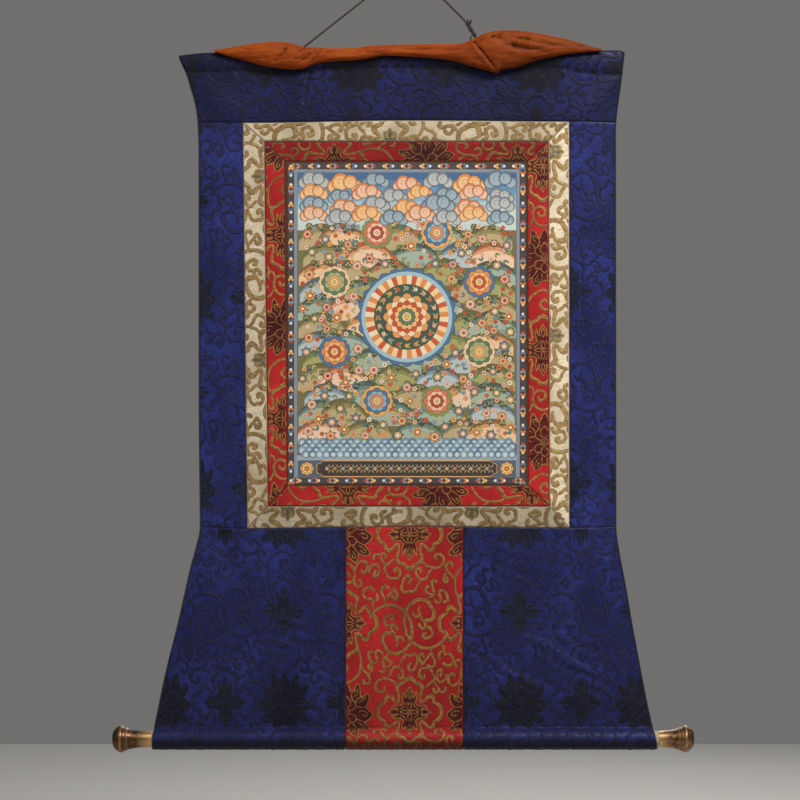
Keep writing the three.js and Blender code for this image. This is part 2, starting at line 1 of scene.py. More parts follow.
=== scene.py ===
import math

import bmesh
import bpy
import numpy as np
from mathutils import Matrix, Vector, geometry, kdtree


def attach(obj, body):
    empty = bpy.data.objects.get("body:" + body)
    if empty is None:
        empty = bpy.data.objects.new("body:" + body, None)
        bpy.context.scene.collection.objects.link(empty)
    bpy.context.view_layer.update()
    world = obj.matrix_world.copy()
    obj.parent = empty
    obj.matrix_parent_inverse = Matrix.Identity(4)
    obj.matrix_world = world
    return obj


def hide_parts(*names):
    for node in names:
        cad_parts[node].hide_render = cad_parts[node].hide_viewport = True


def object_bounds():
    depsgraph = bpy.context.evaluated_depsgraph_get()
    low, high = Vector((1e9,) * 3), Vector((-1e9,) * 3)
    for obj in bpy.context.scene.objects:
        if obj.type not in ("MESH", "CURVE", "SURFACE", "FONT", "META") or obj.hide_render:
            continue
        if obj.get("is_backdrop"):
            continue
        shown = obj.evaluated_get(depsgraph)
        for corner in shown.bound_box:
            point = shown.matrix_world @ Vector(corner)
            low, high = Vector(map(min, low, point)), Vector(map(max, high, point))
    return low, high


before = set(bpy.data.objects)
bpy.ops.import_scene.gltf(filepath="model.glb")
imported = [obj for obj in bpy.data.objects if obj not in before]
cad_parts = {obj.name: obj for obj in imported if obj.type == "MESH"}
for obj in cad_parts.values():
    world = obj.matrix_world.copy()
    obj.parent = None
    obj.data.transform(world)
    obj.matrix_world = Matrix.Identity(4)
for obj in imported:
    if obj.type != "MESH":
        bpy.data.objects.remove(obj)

# %% [markdown]
# A thangka scroll painting hangs by one cord. The real one is nearly all cloth: brocade
# panels sewn round a painted field, a silk veil gathered along the top, and a rod in the bottom hem.
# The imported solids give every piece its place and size. This lesson makes the finish: each cloth is
# laid out flat as a tailor would cut it, its woven figure is drawn on the flat cloth, and then both
# are hung on one soft surface. Lengths are millimetres on the drawing and metres in the scene.

MM = 0.001
cad_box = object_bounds()
size_mm = [round((high - low) / MM, 1) for low, high in zip(*cad_box)]
print("size of the packed part in mm:", size_mm)


# %% [markdown]
# Numbers that belong together stand in short tables. A curve through a table's columns gives every
# value between its rows, and it never swings past them, so a cloth edge stays where it was measured.

# %% Tables and curves
def table(columns, rows):
    """One array for each named column of a short table."""
    return dict(zip(columns.split(), np.array(rows, float).T))


def curve_through(rows, start, end):
    """Smooth curve through two columns of a table that never overshoots, as a function of the first."""
    order = np.argsort(rows[start])
    at, value = rows[start][order], rows[end][order]
    steep = np.diff(value) / np.diff(at)
    before, after = np.append(steep[0], steep), np.append(steep, steep[-1])
    same_way = before * after > 0
    slope = np.where(same_way, 2 * before * after / np.where(same_way, before + after, 1), 0)

    def curve(x):
        i = np.clip(np.searchsorted(at, x) - 1, 0, len(at) - 2)
        span = at[i + 1] - at[i]
        t = np.clip((x - at[i]) / span, 0, 1)
        rest = 1 - t
        from_start = rest**2 * ((1 + 2 * t) * value[i] + t * span * slope[i])
        from_end = t**2 * ((3 - 2 * t) * value[i + 1] - rest * span * slope[i + 1])
        return from_start + from_end

    return curve


def blend(start, end, share):
    """Value at a share of the way from start to end."""
    return start + (end - start) * share


def ease(value, low, high):
    """Soft step from 0 at low to 1 at high."""
    t = np.clip((value - low) / (high - low), 0, 1)
    return t * t * (3 - 2 * t)


def bump_at(distance, width):
    """Bell of height 1 that fades with distance."""
    return np.exp(-((distance / width) ** 2))


# %% [markdown]
# The photograph looks straight at the scroll. A long lens three metres away sees it with hardly any
# perspective, as the photographer's did. One millimetre and a quarter of cloth fills one pixel.

# %% Camera
DISTANCE = 3.0
FIELD_WIDTH = 1.0
FIELD_CENTRE = (-0.010875, -0.54025)
SENSOR_MM = 36

camera = bpy.data.objects.new("camera", bpy.data.cameras.new("camera"))
camera.data.sensor_width = SENSOR_MM
camera.data.lens = SENSOR_MM * DISTANCE / FIELD_WIDTH
camera.location = (FIELD_CENTRE[0], -DISTANCE, FIELD_CENTRE[1])
camera.rotation_euler = (math.radians(90), 0, 0)
bpy.context.scene.collection.objects.link(camera)
bpy.context.scene.camera = camera
bpy.context.scene.view_settings.view_transform = "Standard"
print("camera lens in mm:", camera.data.lens)


# %% [markdown]
# Every finish is a small tree of shader nodes. One function adds a node with its settings, and a
# value for an input is either a plain number or the output of another node. Colours are written as
# they look on a screen and turned into linear light once, here.

# %% Colours and nodes
def linear(hexcode):
    """An sRGB hex colour as linear light, with full alpha."""
    parts = [int(hexcode[i : i + 2], 16) / 255 for i in (0, 2, 4)]
    return tuple(c / 12.92 if c <= 0.04045 else ((c + 0.055) / 1.055) ** 2.4 for c in parts) + (1.0,)


def add_node(tree, kind, settings=None, inputs=None):
    """Adds one node. An input is a value or an output socket, named or numbered as on the node."""
    node = tree.nodes.new(kind)
    for name, value in (settings or {}).items():
        setattr(node, name, value)
    for name, value in (inputs or {}).items():
        if isinstance(value, bpy.types.NodeSocket):
            tree.links.new(value, node.inputs[name])
        else:
            node.inputs[name].default_value = value
    return node


def new_material(name):
    """Empty material: its tree, and a shader already joined to the output."""
    material = bpy.data.materials.new(name)
    material.use_nodes = True
    tree = material.node_tree
    tree.nodes.clear()
    shader = add_node(tree, "ShaderNodeBsdfPrincipled")
    add_node(tree, "ShaderNodeOutputMaterial", inputs={"Surface": shader.outputs[0]})
    return material, tree, shader


def calculated(tree, operation, *values):
    """Output of one math node on these values."""
    inputs = dict(enumerate(values))
    return add_node(tree, "ShaderNodeMath", {"operation": operation}, inputs).outputs[0]


def mottled(tree, grain, stretch=(1, 1, 1), detail=3):
    """Soft noise of so many millimetres on the object's own coordinates, stretched along its axes."""
    place = add_node(tree, "ShaderNodeTexCoord").outputs["Object"]
    moved = add_node(tree, "ShaderNodeMapping", inputs={"Vector": place, "Scale": stretch}).outputs[0]
    noise = {"Vector": moved, "Scale": 1 / (grain * MM), "Detail": detail}
    return add_node(tree, "ShaderNodeTexNoise", inputs=noise).outputs["Fac"]


def mixed(tree, share, low, high):
    """Colour that goes from low to high with a share."""
    colours = {0: share, 6: low, 7: high}
    return add_node(tree, "ShaderNodeMix", {"data_type": "RGBA"}, colours).outputs[2]


def between(tree, share, low, high, low_at=0.3, high_at=0.7):
    """Colour from low to high as a share goes from low_at to high_at."""
    spread = {"Value": share, "From Min": low_at, "From Max": high_at}
    return mixed(tree, add_node(tree, "ShaderNodeMapRange", inputs=spread).outputs[0], low, high)


def join_finish(tree, shader, colour, values, relief=None, depth=0):
    """Joins a colour, and a relief so many millimetres deep, to the shader, and sets plain values."""
    tree.links.new(colour, shader.inputs["Base Color"])
    if relief is not None:
        bump = add_node(tree, "ShaderNodeBump", inputs={"Height": relief, "Distance": depth * MM})
        tree.links.new(bump.outputs[0], shader.inputs["Normal"])
    for name, value in values.items():
        shader.inputs[name].default_value = value


# %% [markdown]
# The light is a photographer's: a soft lamp up to the right of the camera, a larger and weaker one on
# the left, one behind for the back of the cloth, and a pale room that fills the shadows. The floor is
# pale and plain, and isn't part of the object.

# %% Light and floor
# name, place in metres, width in metres, watts
LAMPS = [
    ("key lamp", (1.0, -1.7, 1.4), 0.8, 70),
    ("fill lamp", (-1.6, -1.9, 1.2), 1.6, 16),
    ("back lamp", (0.6, 2.4, 0.6), 1.6, 30),
]
ROOM = "e9e7e3"
ROOM_STRENGTH = 0.2
FLOOR_Z, FLOOR_REACH = -1.4, 3
LOOK_AT = Vector((0, 0, -0.5))

for name, place, width, watts in LAMPS:
    lamp = bpy.data.objects.new(name, bpy.data.lights.new(name, "AREA"))
    lamp.data.size = width
    lamp.data.energy = watts
    lamp.location = place
    lamp.rotation_euler = (LOOK_AT - Vector(place)).to_track_quat("-Z", "Y").to_euler()
    bpy.context.scene.collection.objects.link(lamp)

world = bpy.data.worlds.new("room")
bpy.context.scene.world = world
world.use_nodes = True
world.node_tree.nodes["Background"].inputs["Color"].default_value = linear(ROOM)
world.node_tree.nodes["Background"].inputs["Strength"].default_value = ROOM_STRENGTH

floor_mesh = bpy.data.meshes.new("floor")
corners = [(x * FLOOR_REACH, y * FLOOR_REACH, FLOOR_Z) for x, y in ((-1, -1), (1, -1), (1, 1), (-1, 1))]
floor_mesh.from_pydata(corners, [], [(0, 1, 2, 3)])
floor = bpy.data.objects.new("floor", floor_mesh)
bpy.context.scene.collection.objects.link(floor)
floor_paint, _, floor_shader = new_material("matt pale floor paint")
floor_shader.inputs["Base Color"].default_value = linear("cfccc6")
floor_shader.inputs["Roughness"].default_value = 0.9
floor_mesh.materials.append(floor_paint)
floor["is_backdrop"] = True
print("lamps:", len(LAMPS))


# %% [markdown]
# All the flat cloth hangs on one surface. Its side edges flare at the top, run straight beside the
# painting and spread again below the waist. The depth of its middle, the curl of its edges and a few
# soft folds say how it hangs. These are the part's own measurements, so cloth and solids agree.

# %% Shape of the hanging
CLOTH = 2.0
SEAM_GAP = 0.02
PIPING_RADIUS = 0.8
CLOTH_INSET = 1.7 * PIPING_RADIUS
ROD_Y, ROD_Z = 3.0, -964.3
SLEEVE_RADIUS = 12.3
SLEEVE_TOP = -951.0

EDGES = table("z left right", [
    (-100, -293, 271.9), (-109, -289.6, 271.2), (-134, -278.8, 268.3), (-151, -273.8, 266.1),
    (-166, -269.4, 264), (-181, -266.5, 262.1), (-200, -264.9, 260.5), (-230, -263.9, 260.4),
    (-560, -263.4, 260.4), (-699, -262, 260.5), (-724, -266.8, 263.4), (-748, -273.3, 267.6),
    (-780, -280.6, 273.6), (-813, -287.9, 279), (-848, -296.5, 285.4), (-888, -306.3, 292.9),
    (-923, -313.6, 299.9), (-950, -318.8, 306), (-979, -321.2, 311.9),
])
HEADING = table("x top stitch", [
    (-293, -111.5, -128.5), (-288, -108.3, -128.3), (-274, -106.6, -128), (-255, -105.1, -127.6),
    (-223, -104.8, -127), (-17, -104, -122.6), (152, -103.2, -123.2), (195, -102.8, -124.6),
    (214, -102.6, -127.6), (240, -102.2, -131), (262, -101.5, -131.4), (272, -103.9, -131.6),
])
CROSS_SEAMS = table("x heading waist", [
    (-300, -192.1, -699), (-264, -192.1, -699), (-205, -192.8, -700.8), (0, -189.8, -698.2),
    (201, -191.5, -700.2), (261, -192.1, -699), (300, -192.1, -699),
])
HANG = table("z y", [
    (-100, 9), (-128, 8.6), (-192, 7.2), (-330, 5), (-450, 4), (-640, 2.8), (-760, 0.6), (-860, -0.6),
    (-915, 0.6), (-951, 3), (-980, 3),
])
FOLDS = table("x1 z1 x2 z2 rise width", [
    (-124, -126, -131, -166, -2.2, 2.2), (-272, -138, -216, -182, 1.6, 15),
    (262, -140, 214, -182, 1.6, 15), (-237, -260, -232, -640, 1.4, 16),
    (232, -300, 234, -600, 1.2, 16), (-256, -704, -205, -770, -1.5, 13),
    (255, -704, 208, -770, -1.5, 13), (-240, -740, -288, -915, 2.4, 22),
    (236, -745, 272, -915, 2.6, 22), (-112, -730, -124, -915, 1.8, 26),
    (118, -725, 136, -915, 2, 26), (150, -838, 226, -884, 1.1, 7),
    (112, -858, 190, -904, -1.1, 7), (-128, -850, -92, -862, -0.9, 7),
])

left_edge = curve_through(EDGES, "z", "left")
right_edge = curve_through(EDGES, "z", "right")
heading_top = curve_through(HEADING, "x", "top")
hem_stitch = curve_through(HEADING, "x", "stitch")
heading_seam = curve_through(CROSS_SEAMS, "x", "heading")
waist_seam = curve_through(CROSS_SEAMS, "x", "waist")
hang = curve_through(HANG, "z", "y")


def inside_edge(edge, distance):
    """Line that stays a distance inside a side edge, measured square to it."""
    return lambda z: edge(z) + distance * np.hypot(1, edge(z + 0.5) - edge(z - 0.5))


left_selvedge = inside_edge(left_edge, CLOTH_INSET)
right_selvedge = inside_edge(right_edge, -CLOTH_INSET)


def fold_height(folds, x, z):
    """Height of a table's folds at places on the front."""
    height = np.zeros(np.shape(x))
    for x1, z1, x2, z2, rise, width in zip(*folds.values()):
        along_x, along_z = x2 - x1, z2 - z1
        share = ((x - x1) * along_x + (z - z1) * along_z) / (along_x**2 + along_z**2)
        share = np.clip(share, 0, 1)
        height += rise * bump_at(np.hypot(x - x1 - share * along_x, z - z1 - share * along_z), width)
    return height


# %% [markdown]
# Brocade puckers where its floating threads pull the ground, most of all below the waist, where the
# cloth hangs loose. Those ripples are too small for the solids. Each row of this table is one patch
# of them: where it is, how far it reaches, the way its ridges run, and how far apart and high they are.

# %% Puckers
PUCKERS = table("x z reach_x reach_z turn spacing rise", [
    (188, -862, 64, 34, -28, 17, 0.8), (110, -872, 34, 26, -35, 13, 0.7),
    (240, -905, 30, 30, -24, 14, 0.6), (120, -745, 40, 26, -14, 15, 0.5),
    (205, -790, 42, 34, 62, 19, 0.6), (160, -820, 60, 20, -8, 12, 0.3),
    (-150, -835, 60, 30, -12, 15, 0.5), (-112, -885, 30, 28, -22, 12, 0.55),
    (-235, -890, 44, 36, 10, 17, 0.45), (-190, -762, 60, 26, 8, 16, 0.35),
    (-120, -925, 60, 12, 2, 11, 0.45), (150, -925, 90, 12, -3, 12, 0.45),
    (-30, -790, 46, 40, 20, 21, 0.3), (25, -868, 40, 30, -24, 18, 0.3),
    (-232, -330, 22, 90, 84, 15, 0.25), (232, -470, 20, 110, 95, 16, 0.3),
    (-60, -158, 120, 22, 80, 31, 0.25), (150, -160, 90, 22, 97, 27, 0.25),
    (-150, -129, 110, 6, 88, 17, 0.7), (20, -126, 110, 6, 91, 20, 0.7), (200, -130, 60, 6, 94, 18, 0.7),
])


def pucker(x, z):
    """Height of the small ripples at places on the flat cloth."""
    height = np.zeros(np.shape(x))
    for row_x, row_z, reach_x, reach_z, turn, spacing, rise in zip(*PUCKERS.values()):
        away_x, away_z = x - row_x, z - row_z
        angle = math.radians(turn)
        across = away_z * math.cos(angle) - away_x * math.sin(angle)
        along = away_x * math.cos(angle) + away_z * math.sin(angle)
        bent = across + 0.16 * spacing * np.sin(along / (0.7 * spacing))
        fade = bump_at(away_x, reach_x) * bump_at(away_z, reach_z)
        height += rise * fade * np.sin(2 * math.pi * bent / spacing)
    return height


# %% [markdown]
# Below the skirt the cloth is turned round the rod and sewn to itself, so its line runs down the
# front, bends forward into the sleeve, goes under the rod and ends against its own back. Its flat
# length is measured down this line, so a figure woven into the cloth follows it round the rod.

# %% Line of the cloth round the rod
LINE_START = -938.0
BEND_START = -948.6
SLEEVE_FROM, SLEEVE_TO = 30, 344
STRAIGHT_POINTS, BEND_POINTS, ROUND_POINTS = 8, 12, 64
BEND_REACH = 1.3


def sleeve_line():
    """Flat height, depth, height and outward direction along the cloth's line round the rod."""
    flat = [(hang(z), z) for z in np.linspace(LINE_START, BEND_START, STRAIGHT_POINTS)[:-1]]
    start, end = math.radians(SLEEVE_FROM), math.radians(SLEEVE_TO)
    first = np.array([hang(BEND_START), BEND_START])
    last = np.array([ROD_Y - SLEEVE_RADIUS * math.sin(start), ROD_Z + SLEEVE_RADIUS * math.cos(start)])
    reach = BEND_REACH * np.linalg.norm(last - first)
    down = np.array([0, -reach])
    onward = np.array([-math.cos(start), -math.sin(start)]) * reach
    bend = []
    for t in np.linspace(0, 1, BEND_POINTS)[:-1]:
        on_start = (1 + 2 * t) * (1 - t) ** 2 * first + t * (1 - t) ** 2 * down
        on_end = t * t * (3 - 2 * t) * last - t * t * (1 - t) * onward
        bend.append(tuple(on_start + on_end))
    turn = np.linspace(start, end, ROUND_POINTS)
    round_rod = list(zip(ROD_Y - SLEEVE_RADIUS * np.sin(turn), ROD_Z + SLEEVE_RADIUS * np.cos(turn)))
    line = np.array(flat + bend + round_rod)
    tangent = np.gradient(line, axis=0)
    tangent /= np.linalg.norm(tangent, axis=1)[:, None]
    length = np.append(0, np.cumsum(np.linalg.norm(np.diff(line, axis=0), axis=1)))
    return length, line, np.stack([tangent[:, 1], -tangent[:, 0]], axis=1)


LINE_LENGTH, LINE, LINE_OUT = sleeve_line()
CLOTH_END = LINE_START - LINE_LENGTH[-1]
print("cloth from the waist to its end in mm:", round(-699 - CLOTH_END, 1))


# %% [markdown]
# Any place on the flat cloth can now be hung. Above the sleeve the cloth is free to curl forward at
# its side edges and to fold. Towards the sleeve the rod pulls all of that flat.

# %% Hanging the flat cloth
CURL, CURL_WIDTH = 3, 22
PULLED_FLAT = 32


def true_height(z):
    """Height at which a place on the flat cloth hangs."""
    return np.where(z > LINE_START, z, np.interp(LINE_START - z, LINE_LENGTH, LINE[:, 1]))


def hung(x, z, lift):
    """Points of the flat cloth as it hangs, lifted off its middle towards the viewer, in mm."""
    height = true_height(z)
    freedom = ease(height, SLEEVE_TOP, SLEEVE_TOP + PULLED_FLAT)
    from_side = np.minimum(x - left_edge(height), right_edge(height) - x)
    curl = CURL * bump_at(from_side, CURL_WIDTH)
    soft = freedom * (curl - fold_height(FOLDS, x, z) - pucker(x, z))
    down = np.maximum(LINE_START - z, 0)
    out = [np.interp(down, LINE_LENGTH, LINE_OUT[:, k]) for k in (0, 1)]
    on_front = z > LINE_START
    depth = np.where(on_front, hang(z), np.interp(down, LINE_LENGTH, LINE[:, 0]))
    y = depth + soft + lift * np.where(on_front, -1, out[0])
    return np.stack([x, y, height + lift * np.where(on_front, 0, out[1])], axis=-1)


# %% [markdown]
# A mesh is made in one place, so every piece gets the same care: points in millimetres become
# metres, its faces are shaded smooth, and a real corner stays sharp. Each piece then names the body
# it rides on and the solids it stands for.

# %% Making a piece
SHARP = math.radians(42)


def make_object(name, mesh, materials):
    """An object at the origin with these finishes."""
    for material in materials:
        mesh.materials.append(material)
    made = bpy.data.objects.new(name, mesh)
    bpy.context.scene.collection.objects.link(made)
    return made


def make_mesh(name, points, faces, finish=None, smooth=True):
    """Mesh from points in millimetres, with a finish number for each face."""
    mesh = bpy.data.meshes.new(name)
    mesh.from_pydata((np.asarray(points, float) * MM).tolist(), [], faces)
    if finish is not None:
        mesh.polygons.foreach_set("material_index", np.asarray(finish, np.int32))
    mesh.polygons.foreach_set("use_smooth", np.full(len(mesh.polygons), smooth))
    mesh.set_sharp_from_angle(angle=SHARP)
    mesh.update()
    return mesh


def mark_points(mesh, name, amount):
    """Carries one amount for each point of the mesh, such as how much soil darkens it."""
    marked = mesh.attributes.new(name, "FLOAT", "POINT")
    marked.data.foreach_set("value", np.ravel(amount).astype(np.float32))


def face_outward(mesh):
    """Turns every face of a closed mesh outward."""
    repair = bmesh.new()
    repair.from_mesh(mesh)
    bmesh.ops.recalc_face_normals(repair, faces=repair.faces)
    repair.to_mesh(mesh)
    repair.free()


def dress(piece, slot, replaces=()):
    """The piece rides on the scroll and stands for these solids, which it hides. Its slot is not used."""
    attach(piece, "root")
    if replaces:
        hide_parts(*replaces)
    return piece


def triangles_of(piece):
    """Number of triangles of a piece as it shows."""
    shown = piece.evaluated_get(bpy.context.evaluated_depsgraph_get()).to_mesh()
    shown.calc_loop_triangles()
    return len(shown.loop_triangles)


# %% [markdown]
# Whatever follows a line or repeats is grown by Geometry Nodes: the twist of a cord, a stitch along
# a seam, a woven figure over a panel. Each tree has named inputs for its sizes. What it makes is
# turned into a plain mesh, so nothing of the tree is left on a finished piece.

# %% Trees that grow a mesh
def new_group(name, sizes):
    """Geometry Nodes tree with named inputs, and the sockets that bring them in."""
    tree = bpy.data.node_groups.new(name, "GeometryNodeTree")
    tree.interface.new_socket("Geometry", in_out="INPUT", socket_type="NodeSocketGeometry")
    for label, kind in sizes.items():
        tree.interface.new_socket(label, in_out="INPUT", socket_type="NodeSocket" + kind)
    tree.interface.new_socket("Geometry", in_out="OUTPUT", socket_type="NodeSocketGeometry")
    return tree, add_node(tree, "NodeGroupInput").outputs


def grown(name, mesh, tree, values):
    """Plain mesh that a tree grows from this mesh, with values for its named inputs."""
    start = make_object(name, mesh, [])
    modifier = start.modifiers.new(tree.name, "NODES")
    modifier.node_group = tree
    for socket in tree.interface.items_tree:
        if socket.in_out == "INPUT" and socket.name in values:
            modifier[socket.identifier] = values[socket.name]
    depsgraph = bpy.context.evaluated_depsgraph_get()
    result = bpy.data.meshes.new_from_object(start.evaluated_get(depsgraph), depsgraph=depsgraph)
    bpy.data.objects.remove(start)
    return result


def polyline(name, lines):
    """Mesh of open lines through points in millimetres, for a tree to follow."""
    mesh = bpy.data.meshes.new(name)
    points = [tuple(point) for line in lines for point in np.asarray(line, float) * MM]
    edges = []
    first = 0
    for line in lines:
        edges += [(first + k, first + k + 1) for k in range(len(line) - 1)]
        first += len(line)
    mesh.from_pydata(points, edges, [])
    return mesh


def rounded_line(points, step):
    """Smooth line through points, with a point about every step of millimetres."""
    points = np.asarray(points, float)
    padded = np.vstack([2 * points[0] - points[1], points, 2 * points[-1] - points[-2]])
    line = []
    for a, b, c, d in zip(padded, padded[1:], padded[2:], padded[3:]):
        for t in np.arange(0, 1, min(step / max(np.linalg.norm(c - b), 1e-6), 1)):
            bend = 2 * a - 5 * b + 4 * c - d + t * (3 * (b - c) + d - a)
            line.append(b + 0.5 * t * (c - a + t * bend))
    return np.array(line + [points[-1]])


# %% [markdown]
# The scroll hangs from a cord laid of two strands. The tree carries a round strand along the cord's
# line and lets it turn about that line once every few millimetres. A second strand runs half a turn
# behind. A picture of twisted rope on a plain tube would lose the notched outline of the real one.

# %% Tree of a laid cord
laid, given = new_group("laid cord", {
    "Strand radius": "Float", "Offset": "Float", "Lay length": "Float", "Step": "Float",
    "Sides": "Int", "Fibre": "Material",
})
line = add_node(laid, "GeometryNodeMeshToCurve", inputs={"Mesh": given["Geometry"]}).outputs[0]
even = {"Curve": line, "Length": given["Step"]}
line = add_node(laid, "GeometryNodeResampleCurve", {"mode": "LENGTH"}, even).outputs[0]
along = add_node(laid, "GeometryNodeSplineParameter").outputs["Length"]
tangent = add_node(laid, "GeometryNodeInputTangent").outputs[0]
normal = add_node(laid, "GeometryNodeInputNormal").outputs[0]
turns = calculated(laid, "DIVIDE", along, given["Lay length"])
section = {"Resolution": given["Sides"], "Radius": given["Strand radius"]}
section = add_node(laid, "GeometryNodeCurvePrimitiveCircle", inputs=section).outputs[0]
strands = add_node(laid, "GeometryNodeJoinGeometry")
for half_turn in (0, math.pi):
    angle = calculated(laid, "MULTIPLY_ADD", turns, 2 * math.pi, half_turn)
    outward = {"Vector": normal, "Axis": tangent, "Angle": angle}
    outward = add_node(laid, "ShaderNodeVectorRotate", inputs=outward).outputs[0]
    shift = {0: outward, "Scale": given["Offset"]}
    shift = add_node(laid, "ShaderNodeVectorMath", {"operation": "SCALE"}, shift).outputs[0]
    moved_line = {"Geometry": line, "Offset": shift}
    moved_line = add_node(laid, "GeometryNodeSetPosition", inputs=moved_line).outputs[0]
    strand = {"Curve": moved_line, "Profile Curve": section, "Fill Caps": True}
    strand = add_node(laid, "GeometryNodeCurveToMesh", inputs=strand).outputs[0]
    laid.links.new(strand, strands.inputs[0])
real = add_node(laid, "GeometryNodeRealizeInstances", inputs={"Geometry": strands.outputs[0]}).outputs[0]
dressed = {"Geometry": real, "Material": given["Fibre"]}
dressed = add_node(laid, "GeometryNodeSetMaterial", inputs=dressed).outputs[0]
add_node(laid, "NodeGroupOutput", inputs={"Geometry": dressed})
print("nodes in the laid cord:", len(laid.nodes))


STRAND_SHARE, OFFSET_SHARE = 0.28, 0.22
CORD_DIAMETER, BINDING_DIAMETER, PIPING_DIAMETER = 3, 2.3, 2 * PIPING_RADIUS
# diameter, lay length and step in millimetres, sides of a strand
CORDS = {
    "hanging": (CORD_DIAMETER, 8, 0.9, 9), "binding": (BINDING_DIAMETER, 5, 0.7, 7),
    "core": (3.6, 9, 1.5, 9), "tail": (2.2, 6, 0.8, 8), "tuft": (0.55, 3, 1.2, 4),
    "piping": (PIPING_DIAMETER, 5, 1.25, 6),
}


def laid_cord(name, lines, kind, fibre):
    """Piece of two-strand cord of one kind along lines."""
    diameter, lay_length, step, sides = CORDS[kind]
    sizes = {
        "Strand radius": STRAND_SHARE * diameter * MM, "Offset": OFFSET_SHARE * diameter * MM,
        "Lay length": lay_length * MM, "Step": step * MM, "Sides": sides, "Fibre": fibre,
    }
    mesh = grown(name + "_line", polyline(name, lines), laid, sizes)
    mesh.polygons.foreach_set("use_smooth", np.full(len(mesh.polygons), True))
    piece = bpy.data.objects.new(name, mesh)
    bpy.context.scene.collection.objects.link(piece)
    return piece


# %% [markdown]
# The cord is dark, hard-laid cotton, matt, with a few fibres standing off it. The fibres are finer
# than a pixel, so the noise that stands for them is drawn about a third of a millimetre wide.

# %% Cord fibre
FIBRE_MM, WORN_MM = 0.35, 14

cord_fibre, tree, shader = new_material("laid cotton cord, dark, matt and fibrous")
fibres = mottled(tree, FIBRE_MM, (1, 1, 0.35), detail=4)
dark = between(tree, fibres, linear("17110f"), linear("4a3a33"), 0.32, 0.72)
worn = between(tree, mottled(tree, WORN_MM), dark, linear("2e2226"), 0, 1)
join_finish(tree, shader, worn, {"Roughness": 0.85, "Sheen Weight": 0.25}, fibres, 0.25)

# %% [markdown]
# The route repeats the part's own points: from behind the veil on the left, straight up to its top,
# over it and straight down to the knot. The weight of the scroll holds both legs taut.

# %% Hanging cord
CORD_ROUTE = [
    (-138.6, 9.3, -103), (-130.5, 8.9, -97.1), (-118, 8.2, -87.5), (-103, 7.2, -75.8),
    (-88, 6.2, -64.2), (-73, 5.1, -52.6), (-59.4, 4.2, -42.1), (-44, 3.1, -30.2),
    (-30, 2.1, -19.4), (-17, 1.2, -9.3), (-8.5, 0.5, -2.8), (-4.4, 0.2, 0.2), (-2.6, 0.1, 1.2),
    (-0.5, 0, 1.6), (1.7, 0.1, 1.2), (4, 0.2, -0.3), (8.5, 0.6, -4.6), (18, 1.4, -13.9),
    (31, 2.4, -26.6), (44.9, 3.6, -40.2), (58, 4.7, -53.1), (71.3, 5.8, -66.2),
]

cord_line = rounded_line(CORD_ROUTE, 2)
hanging_cord = laid_cord("laid_hanging_cord", [cord_line], "hanging", cord_fibre)
dress(hanging_cord, "cord_fibre", ["hanging_cord"])
drawn = np.linalg.norm(np.diff(cord_line, axis=0), axis=1).sum()
print("cord as drawn in mm:", round(float(drawn), 1), "triangles:", triangles_of(hanging_cord))

# %% [markdown]
# The right end is bound off: the cord is wound round itself in close turns that swell and draw in,
# and its two cut ends stand up as small tufts. The binding is one long line wound on the knot's axis,
# so the same tree lays it. A straight core fills it, as the cord does inside the real binding.

# %% Knot and tail
KNOT_START = np.array([71.6, 5.9, -66.5])
KNOT_END = np.array([84.3, 7.4, -85.4])
KNOT = table("along radius", [
    (0, 1.7), (0.08, 2.6), (0.2, 3.2), (0.34, 2.7), (0.5, 3.3), (0.65, 2.8), (0.8, 3.3),
    (0.93, 2.7), (1, 1.5),
])
TAIL_ROUTE = [(78.1, 8, -84.1), (77.4, 8.9, -89.6), (76.6, 9.3, -96), (76.2, 9.3, -103)]
BINDING_TURNS, BINDING_POINTS, BINDING_SINK = 8.5, 200, 0.42

knot_radius = curve_through(KNOT, "along", "radius")
axis = (KNOT_END - KNOT_START) / np.linalg.norm(KNOT_END - KNOT_START)
toward = np.array([0, -1, 0]) - axis * -axis[1]
toward /= np.linalg.norm(toward)
aside = np.cross(axis, toward)
share = np.linspace(0.03, 0.97, BINDING_POINTS)
turn = 2 * math.pi * BINDING_TURNS * share + 0.5 * np.sin(14 * share)
reach = knot_radius(share) - BINDING_SINK * BINDING_DIAMETER
spokes = np.cos(turn)[:, None] * toward + np.sin(turn)[:, None] * aside
binding = KNOT_START + share[:, None] * (KNOT_END - KNOT_START) + reach[:, None] * spokes
core = [KNOT_START + s * (KNOT_END - KNOT_START) for s in (0.02, 0.35, 0.7, 0.98)]
knot = laid_cord("wound_knot", [binding], "binding", cord_fibre)
knot_core = laid_cord("wound_knot_core", [core], "core", cord_fibre)
dress(knot, "cord_fibre", ["tie_knot"])
dress(knot_core, "cord_fibre")
tail = laid_cord("laid_cord_tail", [rounded_line(TAIL_ROUTE, 1.5)], "tail", cord_fibre)
dress(tail, "cord_fibre", ["cord_tail"])
print("knot:", triangles_of(knot), "tail:", triangles_of(tail))

# %% [markdown]
# A cut end of cord opens into single fibres. Each fibre of a tuft is a thin strand that leaves the
# knot upwards and bends away by its own amount. A fixed seed gives the same tuft on every run.

# %% Frayed tufts
# root, lean
TUFTS = [((73.4, 4.6, -70.2), (1.0, -1.2, 4.4)), ((76.2, 4.4, -71.0), (1.6, -1.4, 4.9))]
FIBRES_IN_TUFT = 26

